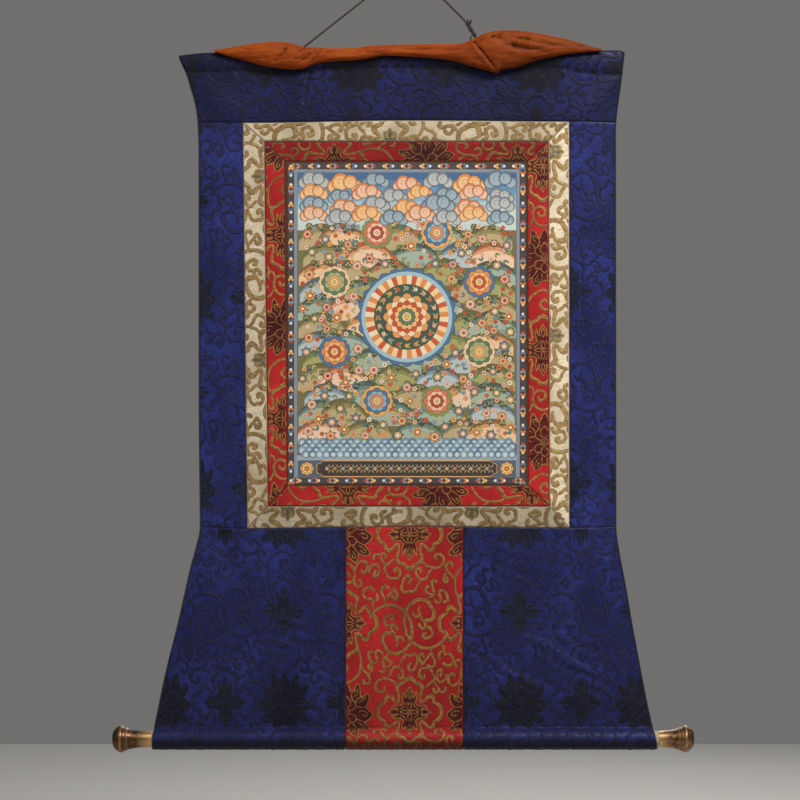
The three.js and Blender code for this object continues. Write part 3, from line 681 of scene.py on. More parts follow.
chance = np.random.default_rng(7)
hairs = []
for root, lean in TUFTS:
    for _ in range(FIBRES_IN_TUFT):
        start = np.array(root) + chance.normal(0, 0.5, 3)
        away = np.array(lean) + chance.normal(0, 1.1, 3)
        droop = chance.normal(0, 0.7, 3)
        hairs.append([start, start + 0.55 * away, start + away + droop])
tufts = laid_cord("knot_tufts", hairs, "tuft", cord_fibre)
dress(tufts, "cord_fibre")
print("tufts:", triangles_of(tufts))


# %% [markdown]
# The brocade shows one woven figure in three colourways. Its repeat is about 150 by 230 mm. A dark
# cross of buds stands in an ogee frame at the corner and at the middle of the repeat. Between the
# crosses lie a lotus and a pair of linked rings, and scrolls with hooked ends fill the rest. Only one
# repeat is drawn, as a weaver's point paper shows it, in millimetres from the cross at its corner.

# %% Frame and cross
FRAME_QUARTER = [
    (0, 42.4, 6), (4.9, 40.2, 5), (7.2, 36.8, 3.8), (11.3, 35.8, 4.8), (14.7, 33.3, 5),
    (15.7, 29.4, 4.2), (14.4, 23.5, 3.6), (13.4, 16.7, 3.4), (14.7, 11.9, 3.6), (19.1, 14.7, 3.8),
    (23, 19, 4.8), (27, 20.2, 5.4), (29.9, 16.4, 4.4), (30.6, 12, 3.7), (35, 10.2, 4.8),
    (38.4, 6.8, 5), (39.9, 2.5, 5.2), (40, 0, 5.2),
]
CROSS_QUARTER = [
    (0, 32.6), (1.6, 28.5), (4, 25.4), (4.9, 21.5), (3.9, 18), (5.6, 18.4), (7, 22), (8.3, 26.6),
    (9.3, 21), (8.6, 15), (7.4, 11.8), (9.2, 9.4), (12.7, 7.4), (16.7, 8.2), (20.5, 7.6), (22.8, 4.8),
    (19.5, 5.4), (16.5, 5), (14.4, 3.2), (15.2, 1.7), (17.6, 3), (21, 3.1), (24, 1.7), (26.6, 0),
]
CROSS_QUARTER_LINES = [
    [(0, 12), (2.2, 8), (1.8, 3.5), (0, 1)], [(1, 0), (4, 2), (8.5, 1.8), (11.5, 0)],
    [(2.6, 12), (5.4, 9), (7.4, 6.2), (11, 3.4)], [(0, 16), (2, 20), (1.6, 24), (0, 27)],
]

# %% [markdown]
# Scrolls leave the frame above and below and curl up into hooks. The pattern turns: what is drawn
# above a cross comes again below it, turned half round. The middle cross has its own companions,
# because the rings stand beside it.

# %% Scrolls
CORNER_SCROLLS = [
    [(-16.3, 34.4), (-20.3, 38.4), (-26.1, 40.6), (-31.4, 42), (-36.8, 40.6), (-40.8, 37.9),
     (-43, 33.5), (-42.1, 28.6), (-38.6, 25), (-34.6, 25), (-31.9, 27.2), (-32.3, 30.4)],
    [(-28.8, 42.6), (-24.6, 46.9), (-22.7, 52.2), (-18.9, 56.5), (-14.5, 55.4), (-10.4, 53.1),
     (-7.8, 48.7), (-8.4, 43.9), (-11.6, 41.8), (-14.5, 43.3), (-14, 46)],
    [(-14.4, 56.2), (-10.9, 62), (-8.2, 67.4), (-4.2, 71.9), (0.7, 70.5), (6.1, 72.8), (9.5, 69.2),
     (9.8, 63.8), (7.9, 57.6), (5.6, 53.1), (2.1, 51.3), (-0.9, 54), (-1.5, 58), (0.5, 60.7)],
    [(19, 30.4), (23.9, 34.4), (28.8, 38.4), (32.4, 34.8), (35.1, 30.8), (36.6, 26.8),
     (33.8, 24.1), (30.6, 25.3), (30, 28.1)],
    [(37, 26.6), (41.3, 24.8), (44.5, 26.3), (44.6, 29.9)],
    [(29.3, 39.3), (31.5, 42.5), (28.8, 47.8), (27.3, 52.2), (23.5, 55.6), (19, 54.5),
     (15, 54.5), (12.1, 50), (12.5, 45.1), (15.4, 42), (18.4, 43.3), (17.9, 46)],
]
MIDDLE_SCROLLS = [
    [(-14.2, 29.6), (-17, 34.6), (-19.7, 40.8), (-20.2, 49.7), (-19.3, 58.6), (-16.2, 64.9),
     (-11.7, 69.3), (-6, 73.4), (0, 75), (6, 73.6), (10.4, 69), (12.8, 62), (11.6, 55), (7.6, 51.3),
     (2, 51), (-2.4, 54), (-3, 58.5), (0, 62.5), (4, 62.8), (5.6, 59.6)],
    [(12.5, 65.8), (14.3, 71.1), (17.9, 76), (22.8, 77.8), (27.2, 75.6), (28.6, 70.2),
     (26.8, 65.8), (23.7, 62.2), (21.2, 64.9)],
    [(28.4, 66.6), (30.4, 63.6), (31.7, 69.3), (36.2, 73.3), (41.1, 72.5), (43.1, 67.1),
     (42, 60.4), (38.4, 57.3), (36.6, 60.4), (37.9, 64.4)],
    [(11.6, 53.4), (13.4, 47), (18.3, 46.1), (21.2, 50.1), (19.2, 53.3)],
    [(-20.4, 53.6), (-24.6, 59.5), (-28.7, 64), (-31.3, 68.4), (-30.9, 73.3), (-27.8, 76),
     (-24.2, 75.1), (-23.3, 71.6)],
    [(-28.7, 63.5), (-32.2, 61.3), (-34, 56.8), (-33.6, 52.4), (-30.9, 51.5), (-29.6, 54.1),
     (-30.9, 56.4)],
]
MIDDLE_OFFSET = (-2, 0)
RINGS_OFFSET = (-1.7, -4.2)
RING = [
    (46.9, -10.7), (44.6, -16.1), (39.3, -21.4), (32.1, -25), (23.2, -26.8), (15.2, -25.4),
    (8, -21.4), (2.6, -16.6), (-1.6, -10), (-4, -1.8), (-4.9, 5.4), (-4.5, 12.5), (-3.1, 18.8),
    (0.9, 25.9), (6.3, 30.4), (12.5, 33.5), (18.8, 33.5), (24.1, 31.7), (26.8, 28.6), (29, 24.6),
    (31.7, 19.6), (32.1, 15.2), (30.8, 10.7), (27.2, 8), (22.8, 7.6),
]
RING_SPRIGS = [
    [(5.4, 19.6), (6.7, 15.2), (9.8, 12.5), (12.5, 13.4), (14.3, 16.1)],
    [(15.2, 25), (13.4, 21.4), (14.3, 16.1), (16.1, 11.6), (17.9, 8), (19.6, 6.3), (21, 3.6),
     (21.4, 0), (18.8, -2.7), (15.2, -0.9), (13.8, 2.7)],
    [(21.4, 0), (24.6, -1.8), (27.2, 0), (28.6, -3.6), (30.4, -8), (28.6, -11.6), (25, -13.8),
     (21.4, -14.7), (18.8, -12.5), (18.8, -9.8), (21.4, -8.9)],
    [(-43.8, 22.3), (-44.6, 29.5), (-46.4, 34.8), (-50.9, 33.9), (-54.5, 36.6), (-56.3, 42),
     (-53.6, 47.3), (-48.2, 49.1), (-44.6, 46.4)],
    [(-44.6, 30.4), (-40.2, 32.1), (-38.4, 35.7), (-39.3, 39.3)],
    [(-28.6, 28.1), (-29.5, 33.9), (-31.7, 39.3), (-33.5, 44.2), (-32.6, 48.2), (-29, 50.9),
     (-25.4, 48.7)],
    [(-27.2, 33), (-24.6, 38.4), (-21, 42.5), (-17.9, 47.2), (-15.2, 42.4), (-13.4, 38.4),
     (-15.2, 34.4), (-18.3, 34.8), (-19.2, 37.5)],
    [(24.1, 34.8), (27.7, 37.5), (31.3, 40.2), (31.3, 44.6), (30.4, 49.1), (29, 54), (31, 57.6),
     (34.6, 56.4)],
    [(30.6, 40.2), (24.8, 41.2), (21.4, 44.6), (21.9, 48.2), (24.6, 50)],
    [(32.1, 36.6), (33.9, 32.1), (37.5, 29.5), (40.2, 31.3), (40.6, 35.7), (38.4, 42),
     (41, 45.6), (45.6, 43.6), (49, 38.2), (49.2, 32.8), (45.5, 30.8)],
]

# %% [markdown]
# The lotus is one dark mass of silk with flame-shaped petals. Thin gilt lines draw the petals and the
# curls inside them. It is the same on its left and right, so half of it is enough.

# %% Lotus
LOTUS_HALF = [
    (0, 36.5), (3.2, 32.5), (4.6, 27.5), (7.4, 24.5), (9.6, 29), (14.6, 35.4), (17, 30.5), (17.4, 24.5),
    (18.6, 18.8), (22.6, 21), (28, 22.6), (28.6, 16), (26.4, 10.4), (24, 6), (27.6, 2.2), (32.4, -2),
    (29.4, -8.5), (25.4, -11.6), (22.8, -13.6), (27, -18.6), (29.6, -24.4), (23.6, -26.8),
    (18.2, -25.4), (15.2, -23.8), (14.6, -29.8), (11.6, -35), (7.4, -33), (4.6, -29.4), (0, -27.6),
]
LOTUS_LINES = [
    [(0, 4.2), (3.2, 3), (4.2, 0), (3.2, -3), (0, -4.2)],
    [(0, 5), (4.6, 8), (5.2, 13), (2.6, 17), (0, 20)],
    [(4.2, 2), (9, 3.6), (12, 8), (10.4, 13), (6.4, 15.6)],
    [(4, -2.4), (9.4, -3.4), (12.6, -7.4), (10.6, -12.4), (6, -13.4)],
    [(0, -5.4), (4, -9.6), (4, -15), (0, -18.4)],
    [(7.4, 24.5), (6.2, 20.4), (7.8, 16.4)], [(18.6, 18.8), (14.2, 16.4), (12, 12)],
    [(24, 6), (18.6, 5.6), (13.4, 6.6)], [(22.8, -13.6), (17.6, -11), (13, -8.6)],
    [(15.2, -23.8), (12, -19.6), (8.6, -15)], [(4.6, -29.4), (3.2, -24.4), (3.4, -19.6)],
    [(9.8, 19.6), (13.6, 23), (14.4, 28), (11.4, 28.4), (10.6, 25)],
    [(15.4, 12), (20.4, 14.4), (24.4, 18), (22, 19.4), (19.4, 16.8)],
    [(15.6, 0), (21.4, 1.4), (27, -2.4), (24, -5.4), (20.4, -3.4)],
    [(15.4, -13.6), (20.4, -17), (25, -22), (21.4, -23.4), (18.4, -20)],
    [(7.6, -20.4), (10.6, -25), (11.4, -30), (8.4, -29.4), (7.4, -26)],
    [(0, 2), (1.8, 0.6), (1.2, -1.4), (-1, -1.2)],
]

# %% [markdown]
# Gilt thread lies on the ground as a low band with shaded edges and one dark line along it, off its
# middle. Each drawn line becomes such a band, five strips wide, rounded where it ends. Its outer edges
# sink under the ground, so the band looks laid in and not cut out. Bands that cross lie a few
# hundredths of a millimetre apart. Dark silk fills an outline.

# %% From drawn lines to woven bands
GILT, SHADE, MIDLINE, DARK = range(4)
BAND = table("across lift", [
    (-0.5, -0.12), (-0.37, 0.2), (0.04, 0.28), (0.2, 0.26), (0.39, 0.2), (0.5, -0.12),
])
BAND_PARTS = (SHADE, GILT, MIDLINE, GILT, SHADE)
LINE_STEP = 2.5
FILL_STEP, FILL_MARGIN, FILL_LIFT = 3.6, 1.3, 0.14
THIN_START, THICK_END = 0.85, 1.2
CAP_REACH, CAP_WIDTH = (0.3, 0.46), (0.8, 0.3)
LEVEL, LEVELS = 0.004, 11


def turned(points, degrees, place=(0, 0)):
    """Points turned about the origin and moved. A third column, such as a width, stays as it is."""
    points = np.asarray(points, float)
    c, s = math.cos(math.radians(degrees)), math.sin(math.radians(degrees))
    flat = points[..., :2] @ np.array([[c, s], [-s, c]]) + place
    return np.concatenate([flat, points[..., 2:]], axis=-1)


def mirrored(points, side=-1, up=1):
    """Points with left and right exchanged, or top and bottom."""
    points = np.asarray(points, float)
    return np.hstack([points[:, :2] * (side, up), points[:, 2:]])


def band(drawing, points, width, closed=False):
    """Adds one woven band along a line, as wide as its third column or as width."""
    points = np.asarray(points, float)
    if points.shape[1] < 3:
        swell = np.ones(len(points)) if closed else np.linspace(THIN_START, THICK_END, len(points))
        points = np.hstack([points, (width * swell)[:, None]])
    line = rounded_line(points, LINE_STEP)
    line, breadth = line[:, :2], line[:, 2]
    ahead = np.gradient(line, axis=0)
    if closed:
        ahead[0] = ahead[-1] = line[1] - line[-2]
    ahead /= np.linalg.norm(ahead, axis=1)[:, None] + 1e-9
    if not closed:
        cap = breadth[-1] * np.array(CAP_REACH)[:, None]
        line = np.vstack([line, line[-1] + ahead[-1] * cap])
        ahead = np.vstack([ahead, ahead[-1:], ahead[-1:]])
        breadth = np.append(breadth, breadth[-1] * np.array(CAP_WIDTH))
        breadth[0] *= 0.5
    aside = np.stack([-ahead[:, 1], ahead[:, 0]], axis=1)
    first = len(drawing["points"])
    level = LEVEL * (first % LEVELS)
    for at, side, wide in zip(line, aside, breadth):
        for share, lift in zip(BAND["across"], BAND["lift"]):
            drawing["points"].append((*(at + side * share * wide), lift + level))
    across = len(BAND["across"])
    for k in range(len(line) - 1):
        for m in range(across - 1):
            corner = first + k * across + m
            drawing["faces"].append((corner, corner + across, corner + across + 1, corner + 1))
            drawing["parts"].append(BAND_PARTS[m])


def within(edge, x, y):
    """Whether points lie inside a closed outline, by counting the sides to their right."""
    (x1, y1), (x2, y2) = edge.T[:, :, None], np.roll(edge, -1, axis=0).T[:, :, None]
    spans = (y1 > y) != (y2 > y)
    meets = x1 + (y - y1) / np.where(y2 == y1, 1, y2 - y1) * (x2 - x1)
    return (spans & (x < meets)).sum(axis=0) % 2 == 1


def dark_fill(drawing, outline, rim):
    """Adds a dark filled shape with a thin gilt rim. The outline closes on itself."""
    edge = rounded_line(np.vstack([outline, outline[:1]]), LINE_STEP)[:-1]
    low, high = edge.min(axis=0), edge.max(axis=0)
    x, y = np.meshgrid(*(np.arange(low[k] + 1, high[k], FILL_STEP) for k in (0, 1)))
    x, y = x.ravel(), y.ravel()
    gap = np.hypot(x - edge[:, :1], y - edge[:, 1:]).min(axis=0)
    inner = within(edge, x, y) & (gap > FILL_MARGIN)
    spots = [Vector(p) for p in edge] + [Vector(p) for p in zip(x[inner], y[inner])]
    loop = [(k, (k + 1) % len(edge)) for k in range(len(edge))]
    spots, _, faces, *_ = geometry.delaunay_2d_cdt(spots, loop, [], 0, 1e-4)
    middles = np.array([sum((spots[k] for k in face), Vector((0, 0))) / 3 for face in faces])
    kept = within(edge, middles[:, 0], middles[:, 1])
    first = len(drawing["points"])
    drawing["points"] += [(spot.x, spot.y, FILL_LIFT) for spot in spots]
    for face, inside in zip(faces, kept):
        if inside:
            drawing["faces"].append(tuple(first + k for k in face))
            drawing["parts"].append(DARK)
    band(drawing, np.vstack([edge, edge[:1]]), rim, closed=True)


# %% [markdown]
# A weaver scales nothing: the figures keep their size, and a wider or taller repeat only sets them
# further apart. The lines are bolder on some cloths than on others, most of all on the cream one.

# %% Drawing one repeat
SCROLL_WIDTH, RING_WIDTH, FINE_WIDTH, RIM_WIDTH = 3.3, 4.2, 1.2, 1.5


def whole(quarter):
    """Closed line of four mirrored quarters."""
    quarter = np.asarray(quarter, float)
    right = np.vstack([quarter, mirrored(quarter, 1, -1)[::-1][1:]])
    return np.vstack([right, mirrored(right)[::-1][1:]])


def drawn_repeat(size, boldness):
    """Drawing of one repeat of a size, with lines so many times as bold."""
    drawing = {"points": [], "faces": [], "parts": []}
    width, height = size
    middle = np.array((width / 2, height / 2)) + MIDDLE_OFFSET
    for centre, scrolls in (((0, 0), CORNER_SCROLLS), (middle, MIDDLE_SCROLLS)):
        ogee = whole(FRAME_QUARTER) * (1, 1, boldness)
        band(drawing, turned(ogee, 0, centre), 0, closed=True)
        dark_fill(drawing, whole(CROSS_QUARTER)[:-1] + centre, RIM_WIDTH * boldness)
        for line in CROSS_QUARTER_LINES:
            for up in (1, -1):
                for side in (1, -1):
                    band(drawing, mirrored(line, side, up) + centre, FINE_WIDTH * boldness)
        for half in (0, 180):
            for line in scrolls:
                band(drawing, turned(line, half, centre), SCROLL_WIDTH * boldness)
    rings_at = np.array((0, height / 2)) + RINGS_OFFSET
    for half in (0, 180):
        band(drawing, turned(RING, half, rings_at), RING_WIDTH * boldness)
        for line in RING_SPRIGS:
            band(drawing, turned(line, half, rings_at), SCROLL_WIDTH * boldness)
    lotus = np.array(LOTUS_HALF)
    lotus = np.vstack([lotus, mirrored(lotus[1:-1])[::-1]])
    dark_fill(drawing, lotus + (width / 2, 0), RIM_WIDTH * boldness)
    for line in LOTUS_LINES:
        for side in (1, -1):
            band(drawing, mirrored(line, side) + (width / 2, 0), FINE_WIDTH * boldness)
    return drawing


one_repeat = drawn_repeat((150, 227), 1)
print("faces in one repeat:", len(one_repeat["faces"]), "points:", len(one_repeat["points"]))


# %% [markdown]
# One repeat becomes a length of cloth by standing copies of it on a grid of points. The tree does
# that, turns the cloth when it was cut across, and puts it where the figure falls on this panel. A
# number on each face says which thread it is, and the tree gives each thread its finish.

# %% Tree that repeats the figure
THREADS = ("Gilt", "Shade", "Midline", "Dark")
repeating, given = new_group("woven repeat", {
    "Columns": "Int", "Rows": "Int", "Width": "Float", "Height": "Float", "Turn": "Vector",
    "Place": "Vector", **{thread: "Material" for thread in THREADS},
})
grid = {"Vertices X": given["Columns"], "Vertices Y": given["Rows"]}
for side, count, size in (("Size X", "Columns", "Width"), ("Size Y", "Rows", "Height")):
    gaps = calculated(repeating, "SUBTRACT", given[count], 1)
    grid[side] = calculated(repeating, "MULTIPLY", gaps, given[size])
grid = add_node(repeating, "GeometryNodeMeshGrid", inputs=grid).outputs["Mesh"]
copies = {"Points": grid, "Instance": given["Geometry"]}
copies = add_node(repeating, "GeometryNodeInstanceOnPoints", inputs=copies).outputs[0]
cut = {"Geometry": copies, "Translation": given["Place"], "Rotation": given["Turn"]}
cut = add_node(repeating, "GeometryNodeTransform", inputs=cut).outputs[0]
woven = add_node(repeating, "GeometryNodeRealizeInstances", inputs={"Geometry": cut}).outputs[0]
part = {"Name": "part"}
part = add_node(repeating, "GeometryNodeInputNamedAttribute", {"data_type": "INT"}, part).outputs[0]
for number, thread in enumerate(THREADS):
    same = {"data_type": "INT", "operation": "EQUAL"}
    same = add_node(repeating, "FunctionNodeCompare", same, {2: part, 3: number}).outputs[0]
    coloured = {"Geometry": woven, "Selection": same, "Material": given[thread]}
    woven = add_node(repeating, "GeometryNodeSetMaterial", inputs=coloured).outputs[0]
add_node(repeating, "NodeGroupOutput", inputs={"Geometry": woven})
print("nodes in the repeat:", len(repeating.nodes))

# %% [markdown]
# Satin brocade has a ground of long silk floats, smooth and faintly ribbed, and figures in flat gilt
# thread. The real threads are a tenth of a millimetre apart and would not show, so the ribs are drawn
# 2.2 mm apart, faint. Handling has dulled the ground in soft patches, and the gilt has tarnished.
# Painted shade darkens a cloth at its seams, along its stitches and under the rod's sleeve,
# so each mesh carries its own amount.

# %% Brocade finishes
RIB_MM, PATCH_MM, FLECK_MM = 2.2, 60, 3.5
CLOTH_SPECULAR = 0.12
# colour of the painted shade, also of the tarnish in the knobs' grooves
SHADE_AND_SOIL_COLOUR = "120e0c"


def shaded_and_soiled(tree, colour):
    """The colour, darkened by the painted shade and the tarnish that are marked on the mesh."""
    shade_and_soil = add_node(tree, "ShaderNodeAttribute", {"attribute_name": "shade_and_soil"}).outputs["Fac"]
    return mixed(tree, shade_and_soil, colour, linear(SHADE_AND_SOIL_COLOUR))


def satin(name, dark, light, roughness, sheen):
    """Silk ground between two colours, ribbed and softly patched."""
    material, tree, shader = new_material(name)
    patches = mottled(tree, PATCH_MM, (1, 1, 0.7), detail=4)
    ribs = mottled(tree, RIB_MM, (0.12, 1, 1.6))
    flecks = mottled(tree, FLECK_MM, detail=5)
    ground = between(tree, patches, linear(dark), linear(light), 0.36, 0.64)
    ribbed = between(tree, ribs, linear(dark), ground, 0.2, 0.5)
    flecked = between(tree, flecks, linear(dark), ribbed, 0.3, 0.5)
    relief = calculated(tree, "MULTIPLY_ADD", ribs, 0.6, flecks)
    values = {"Roughness": roughness, "Sheen Weight": sheen, "Specular IOR Level": CLOTH_SPECULAR}
    join_finish(tree, shader, shaded_and_soiled(tree, flecked), values, relief, 0.22)
    return material


def thread(name, dark, light, roughness, metallic):
    """Woven thread between two colours, broken up along its length."""
    material, tree, shader = new_material(name)
    worn = mottled(tree, FLECK_MM, detail=6)
    colour = between(tree, worn, linear(dark), linear(light), 0.34, 0.6)
    dulled = between(tree, mottled(tree, PATCH_MM), linear(dark), colour, 0.3, 0.46)
    values = {"Roughness": roughness, "Metallic": metallic, "Specular IOR Level": CLOTH_SPECULAR}
    join_finish(tree, shader, shaded_and_soiled(tree, dulled), values, worn, 0.2)
    return material


GROUNDS = {
    "blue": satin("silk satin ground, blue, dulled", "20254f", "31387b", 0.42, 0),
    "red": satin("silk satin ground, red", "9e2423", "c82e2f", 0.42, 0),
    "cream": satin("silk satin ground, cream", "cbb897", "fdecca", 0.5, 0),
}
ON_BLUE = (
    thread("blue silk thread, raised, browned by wear", "1b1d3b", "2a2b4e", 0.55, 0),
    thread("shadowed edge of the figure, on blue", "101128", "181a38", 0.7, 0),
    thread("blue silk thread, lighter midline", "22254a", "2f3360", 0.55, 0),
    thread("black silk thread, on blue", "14161d", "22242f", 0.6, 0),
)
ON_RED = (
    thread("gilt thread, tarnished, on red", "8b6036", "b88849", 0.5, 0.1),
    thread("shadowed edge of the figure, on red", "33130f", "571b16", 0.7, 0),
    thread("gilt thread, worn midline, on red", "573624", "835a36", 0.6, 0.1),
    thread("aubergine silk thread, on red", "3f1514", "602420", 0.6, 0),
)
ON_CREAM = (
    thread("gilt thread, tarnished, on cream", "937347", "bd9a66", 0.5, 0.1),
    thread("shadowed edge of the figure, on cream", "4a3f2c", "66563a", 0.7, 0),
    thread("gilt thread, worn midline, on cream", "806846", "ae8f61", 0.6, 0.1),
    thread("grey green silk thread, on cream", "55554b", "7a7660", 0.6, 0),
)
lining = satin("plain cotton backing, brown, undyed thread", "5b4a3d", "75624f", 0.9, 0.05)

# %% [markdown]
# A cloth's cut is four lines: its two sides and its two ends. Shares of its width and height name
# any place on it. A cut cloth isn't a sharp sheet, so its face rolls down where a seam pulls it in.
# Between the woven lines the ground stands up in little cushions, because the gilt draws it together.

# %% Cutting and laying a cloth
EDGE_LINES = np.array([0, 0.5, 1.2, 2.4])
BACK_EVERY = 4
SEAM_ROLL, ROLL_WIDTH = 0.85, 1.1
# painted shade in the grooves of the seams
SEAM_SHADE, SEAM_SHADE_WIDTH = 0.8, 0.9
# painted shade on the underside of the rod's sleeve, which turns away from the lamps
UNDER_ROD_SHADE, ROD_SHADE = 0.72, (961, 968)
# painted shadow of the hem's stitch dimples
STITCH_SHADE, STITCH_WIDTH, DASH_MM = 0.75, 1.7, 19
# painted shade along the stitched crease above the sleeve
SLEEVE_STITCH_SHADE, SLEEVE_STITCH_SHADE_WIDTH, SLEEVE_STITCH = 0.5, 1.4, -949.6
PLACE_ROUNDS = 4


def places(cut, s, t):
    """Places on the flat cloth at shares of its width and height."""
    left, right, top, bottom = cut
    x = np.zeros(np.broadcast(s, t).shape)
    for _ in range(PLACE_ROUNDS):
        z = blend(top(x), bottom(x), t)
        x = blend(left(z), right(z), s)
    return x, blend(top(x), bottom(x), t)


def shares_at(cut, x, z):
    """Shares of a cloth's width and height at places on it."""
    left, right, top, bottom = cut
    return (x - left(z)) / (right(z) - left(z)), (z - top(x)) / (bottom(x) - top(x))


def from_edge(cut, x, z):
    """Distance of places from the nearest edge of their cloth."""
    left, right, top, bottom = cut
    from_side = np.minimum(x - left(z), right(z) - x)
    return np.maximum(np.minimum(from_side, np.minimum(top(x) - z, z - bottom(x))), 0)


def face_lift(cut, x, z, half):
    """How far a cloth's face stands off its middle: half its thickness, less where a seam pulls it in."""
    return half - SEAM_ROLL * half * bump_at(from_edge(cut, x, z), ROLL_WIDTH)


def hem_dashes(x, z):
    """Dimples in a row where the blind stitches of the hem draw the cloth in; the same row marks their
    painted shadow.
    """
    dash = ease(np.sin(2 * math.pi * x / DASH_MM + np.sin(x / 31)), -0.5, 0.5)
    return bump_at(z - hem_stitch(x) - 0.7 * np.sin(x / 9), STITCH_WIDTH) * dash


def mark_shade_and_soil(mesh, cut, x, z, shade_and_soil, faces_us=1):
    """Marks how much painted shade darkens each point: by its height, at seams and stitches, under the
    rod.
    """
    # painted shade from the cloth's top to its foot, as its table gives
    shade_by_height = blend(*shade_and_soil, np.clip(shares_at(cut, x, z)[1], 0, 1))
    # painted shade in the seam's groove
    seam_shade = SEAM_SHADE * bump_at(from_edge(cut, x, z), SEAM_SHADE_WIDTH)
    # painted shade under the rod
    under_rod_shade = UNDER_ROD_SHADE * ease(-true_height(z), *ROD_SHADE) * (z < LINE_START)
    # painted shadow along the hem's stitches
    stitch_shade = STITCH_SHADE * hem_dashes(x, z)
    # painted shade at the sleeve's stitched crease
    sleeve_stitch_shade = bump_at(true_height(z) - SLEEVE_STITCH, SLEEVE_STITCH_SHADE_WIDTH) * (z > LINE_START - 20)
    stitch_shade += SLEEVE_STITCH_SHADE * sleeve_stitch_shade
    unshaded = (1 - shade_by_height) * (1 - seam_shade) * (1 - under_rod_shade) * (1 - stitch_shade * faces_us)
    mark_points(mesh, "shade_and_soil", 1 - unshaded)


def lines_across(length, step):
    """Shares of a length where the lines of a fine grid lie, close together at its two ends."""
    margin = EDGE_LINES[-1]
    count = max(int(round((length - 2 * margin) / step)), 1)
    inner = margin + (length - 2 * margin) * np.arange(1, count) / count
    return np.concatenate([EDGE_LINES, inner, length - EDGE_LINES[::-1]]) / length


def cloth_mesh(name, cut, step, half, swell=None, cushion=None, shade_and_soil=(0, 0)):
    """Closed sheet with a fine face and a coarser back. Swell thickens it, cushion lifts its face."""
    middle_x, middle_z = places(cut, np.array([0, 1, 0.5, 0.5]), np.array([0.5, 0.5, 0, 1]))
    s = lines_across(middle_x[1] - middle_x[0], step)
    t = lines_across(middle_z[2] - middle_z[3], step)
    x, z = places(cut, s[:, None], t[None, :])
    extra = swell(x, z) if swell else 0
    lift = face_lift(cut, x, z, half) + extra + (cushion(x, z) if cushion else 0)
    front = hung(x, z, lift)
    back_i = np.unique(np.append(np.arange(0, len(s), BACK_EVERY), len(s) - 1))
    back_j = np.unique(np.append(np.arange(0, len(t), BACK_EVERY), len(t) - 1))
    behind = np.ix_(back_i, back_j)
    back = hung(x[behind], z[behind], -(half + (extra[behind] if swell else 0)))
    points = np.vstack([front.reshape(-1, 3), back.reshape(-1, 3)])
    rows, back_rows, first = len(t), len(back_j), x.size
    i, j = np.meshgrid(np.arange(len(s) - 1), np.arange(rows - 1), indexing="ij")
    a = (i * rows + j).ravel()
    faces = np.stack([a, a + 1, a + rows + 1, a + rows], 1).tolist()
    finish = [0] * len(faces)
    i, j = np.meshgrid(np.arange(len(back_i) - 1), np.arange(back_rows - 1), indexing="ij")
    a = first + (i * back_rows + j).ravel()
    faces += np.stack([a, a + back_rows, a + back_rows + 1, a + 1], 1).tolist()
    finish += [1] * len(a)
    for k, (i0, i1) in enumerate(zip(back_i, back_i[1:])):
        low, high = first + k * back_rows, first + (k + 1) * back_rows
        top = [i * rows for i in range(i0, i1 + 1)]
        faces.append(top + [high, low])
        bottom = [i * rows + rows - 1 for i in range(i1, i0 - 1, -1)]
        faces.append(bottom + [low + back_rows - 1, high + back_rows - 1])
    last, far = (len(s) - 1) * rows, first + (len(back_i) - 1) * back_rows
    for k, (j0, j1) in enumerate(zip(back_j, back_j[1:])):
        faces.append([first + k, first + k + 1] + list(range(j1, j0 - 1, -1)))
        faces.append([last + j for j in range(j0, j1 + 1)] + [far + k + 1, far + k])
    finish += [0] * (len(faces) - len(finish))
    mesh = make_mesh(name, points, faces, finish)
    all_x, all_z = np.append(x, x[behind]), np.append(z, z[behind])
    mark_shade_and_soil(mesh, cut, all_x, all_z, shade_and_soil, np.arange(len(all_x)) < x.size)
    return mesh


# %% [markdown]
# A figure is laid on its cloth in the flat. What falls past the cut is drawn in to the cut's edge,
# and faces with no corner left inside are dropped. Only then is the figure hung, on the same surface
# as the ground, so it follows every fold.

# %% Laying the figure
EDGE_MARGIN = 1.2
LINE_REACH, CUSHION_REACH = 1.6, 3


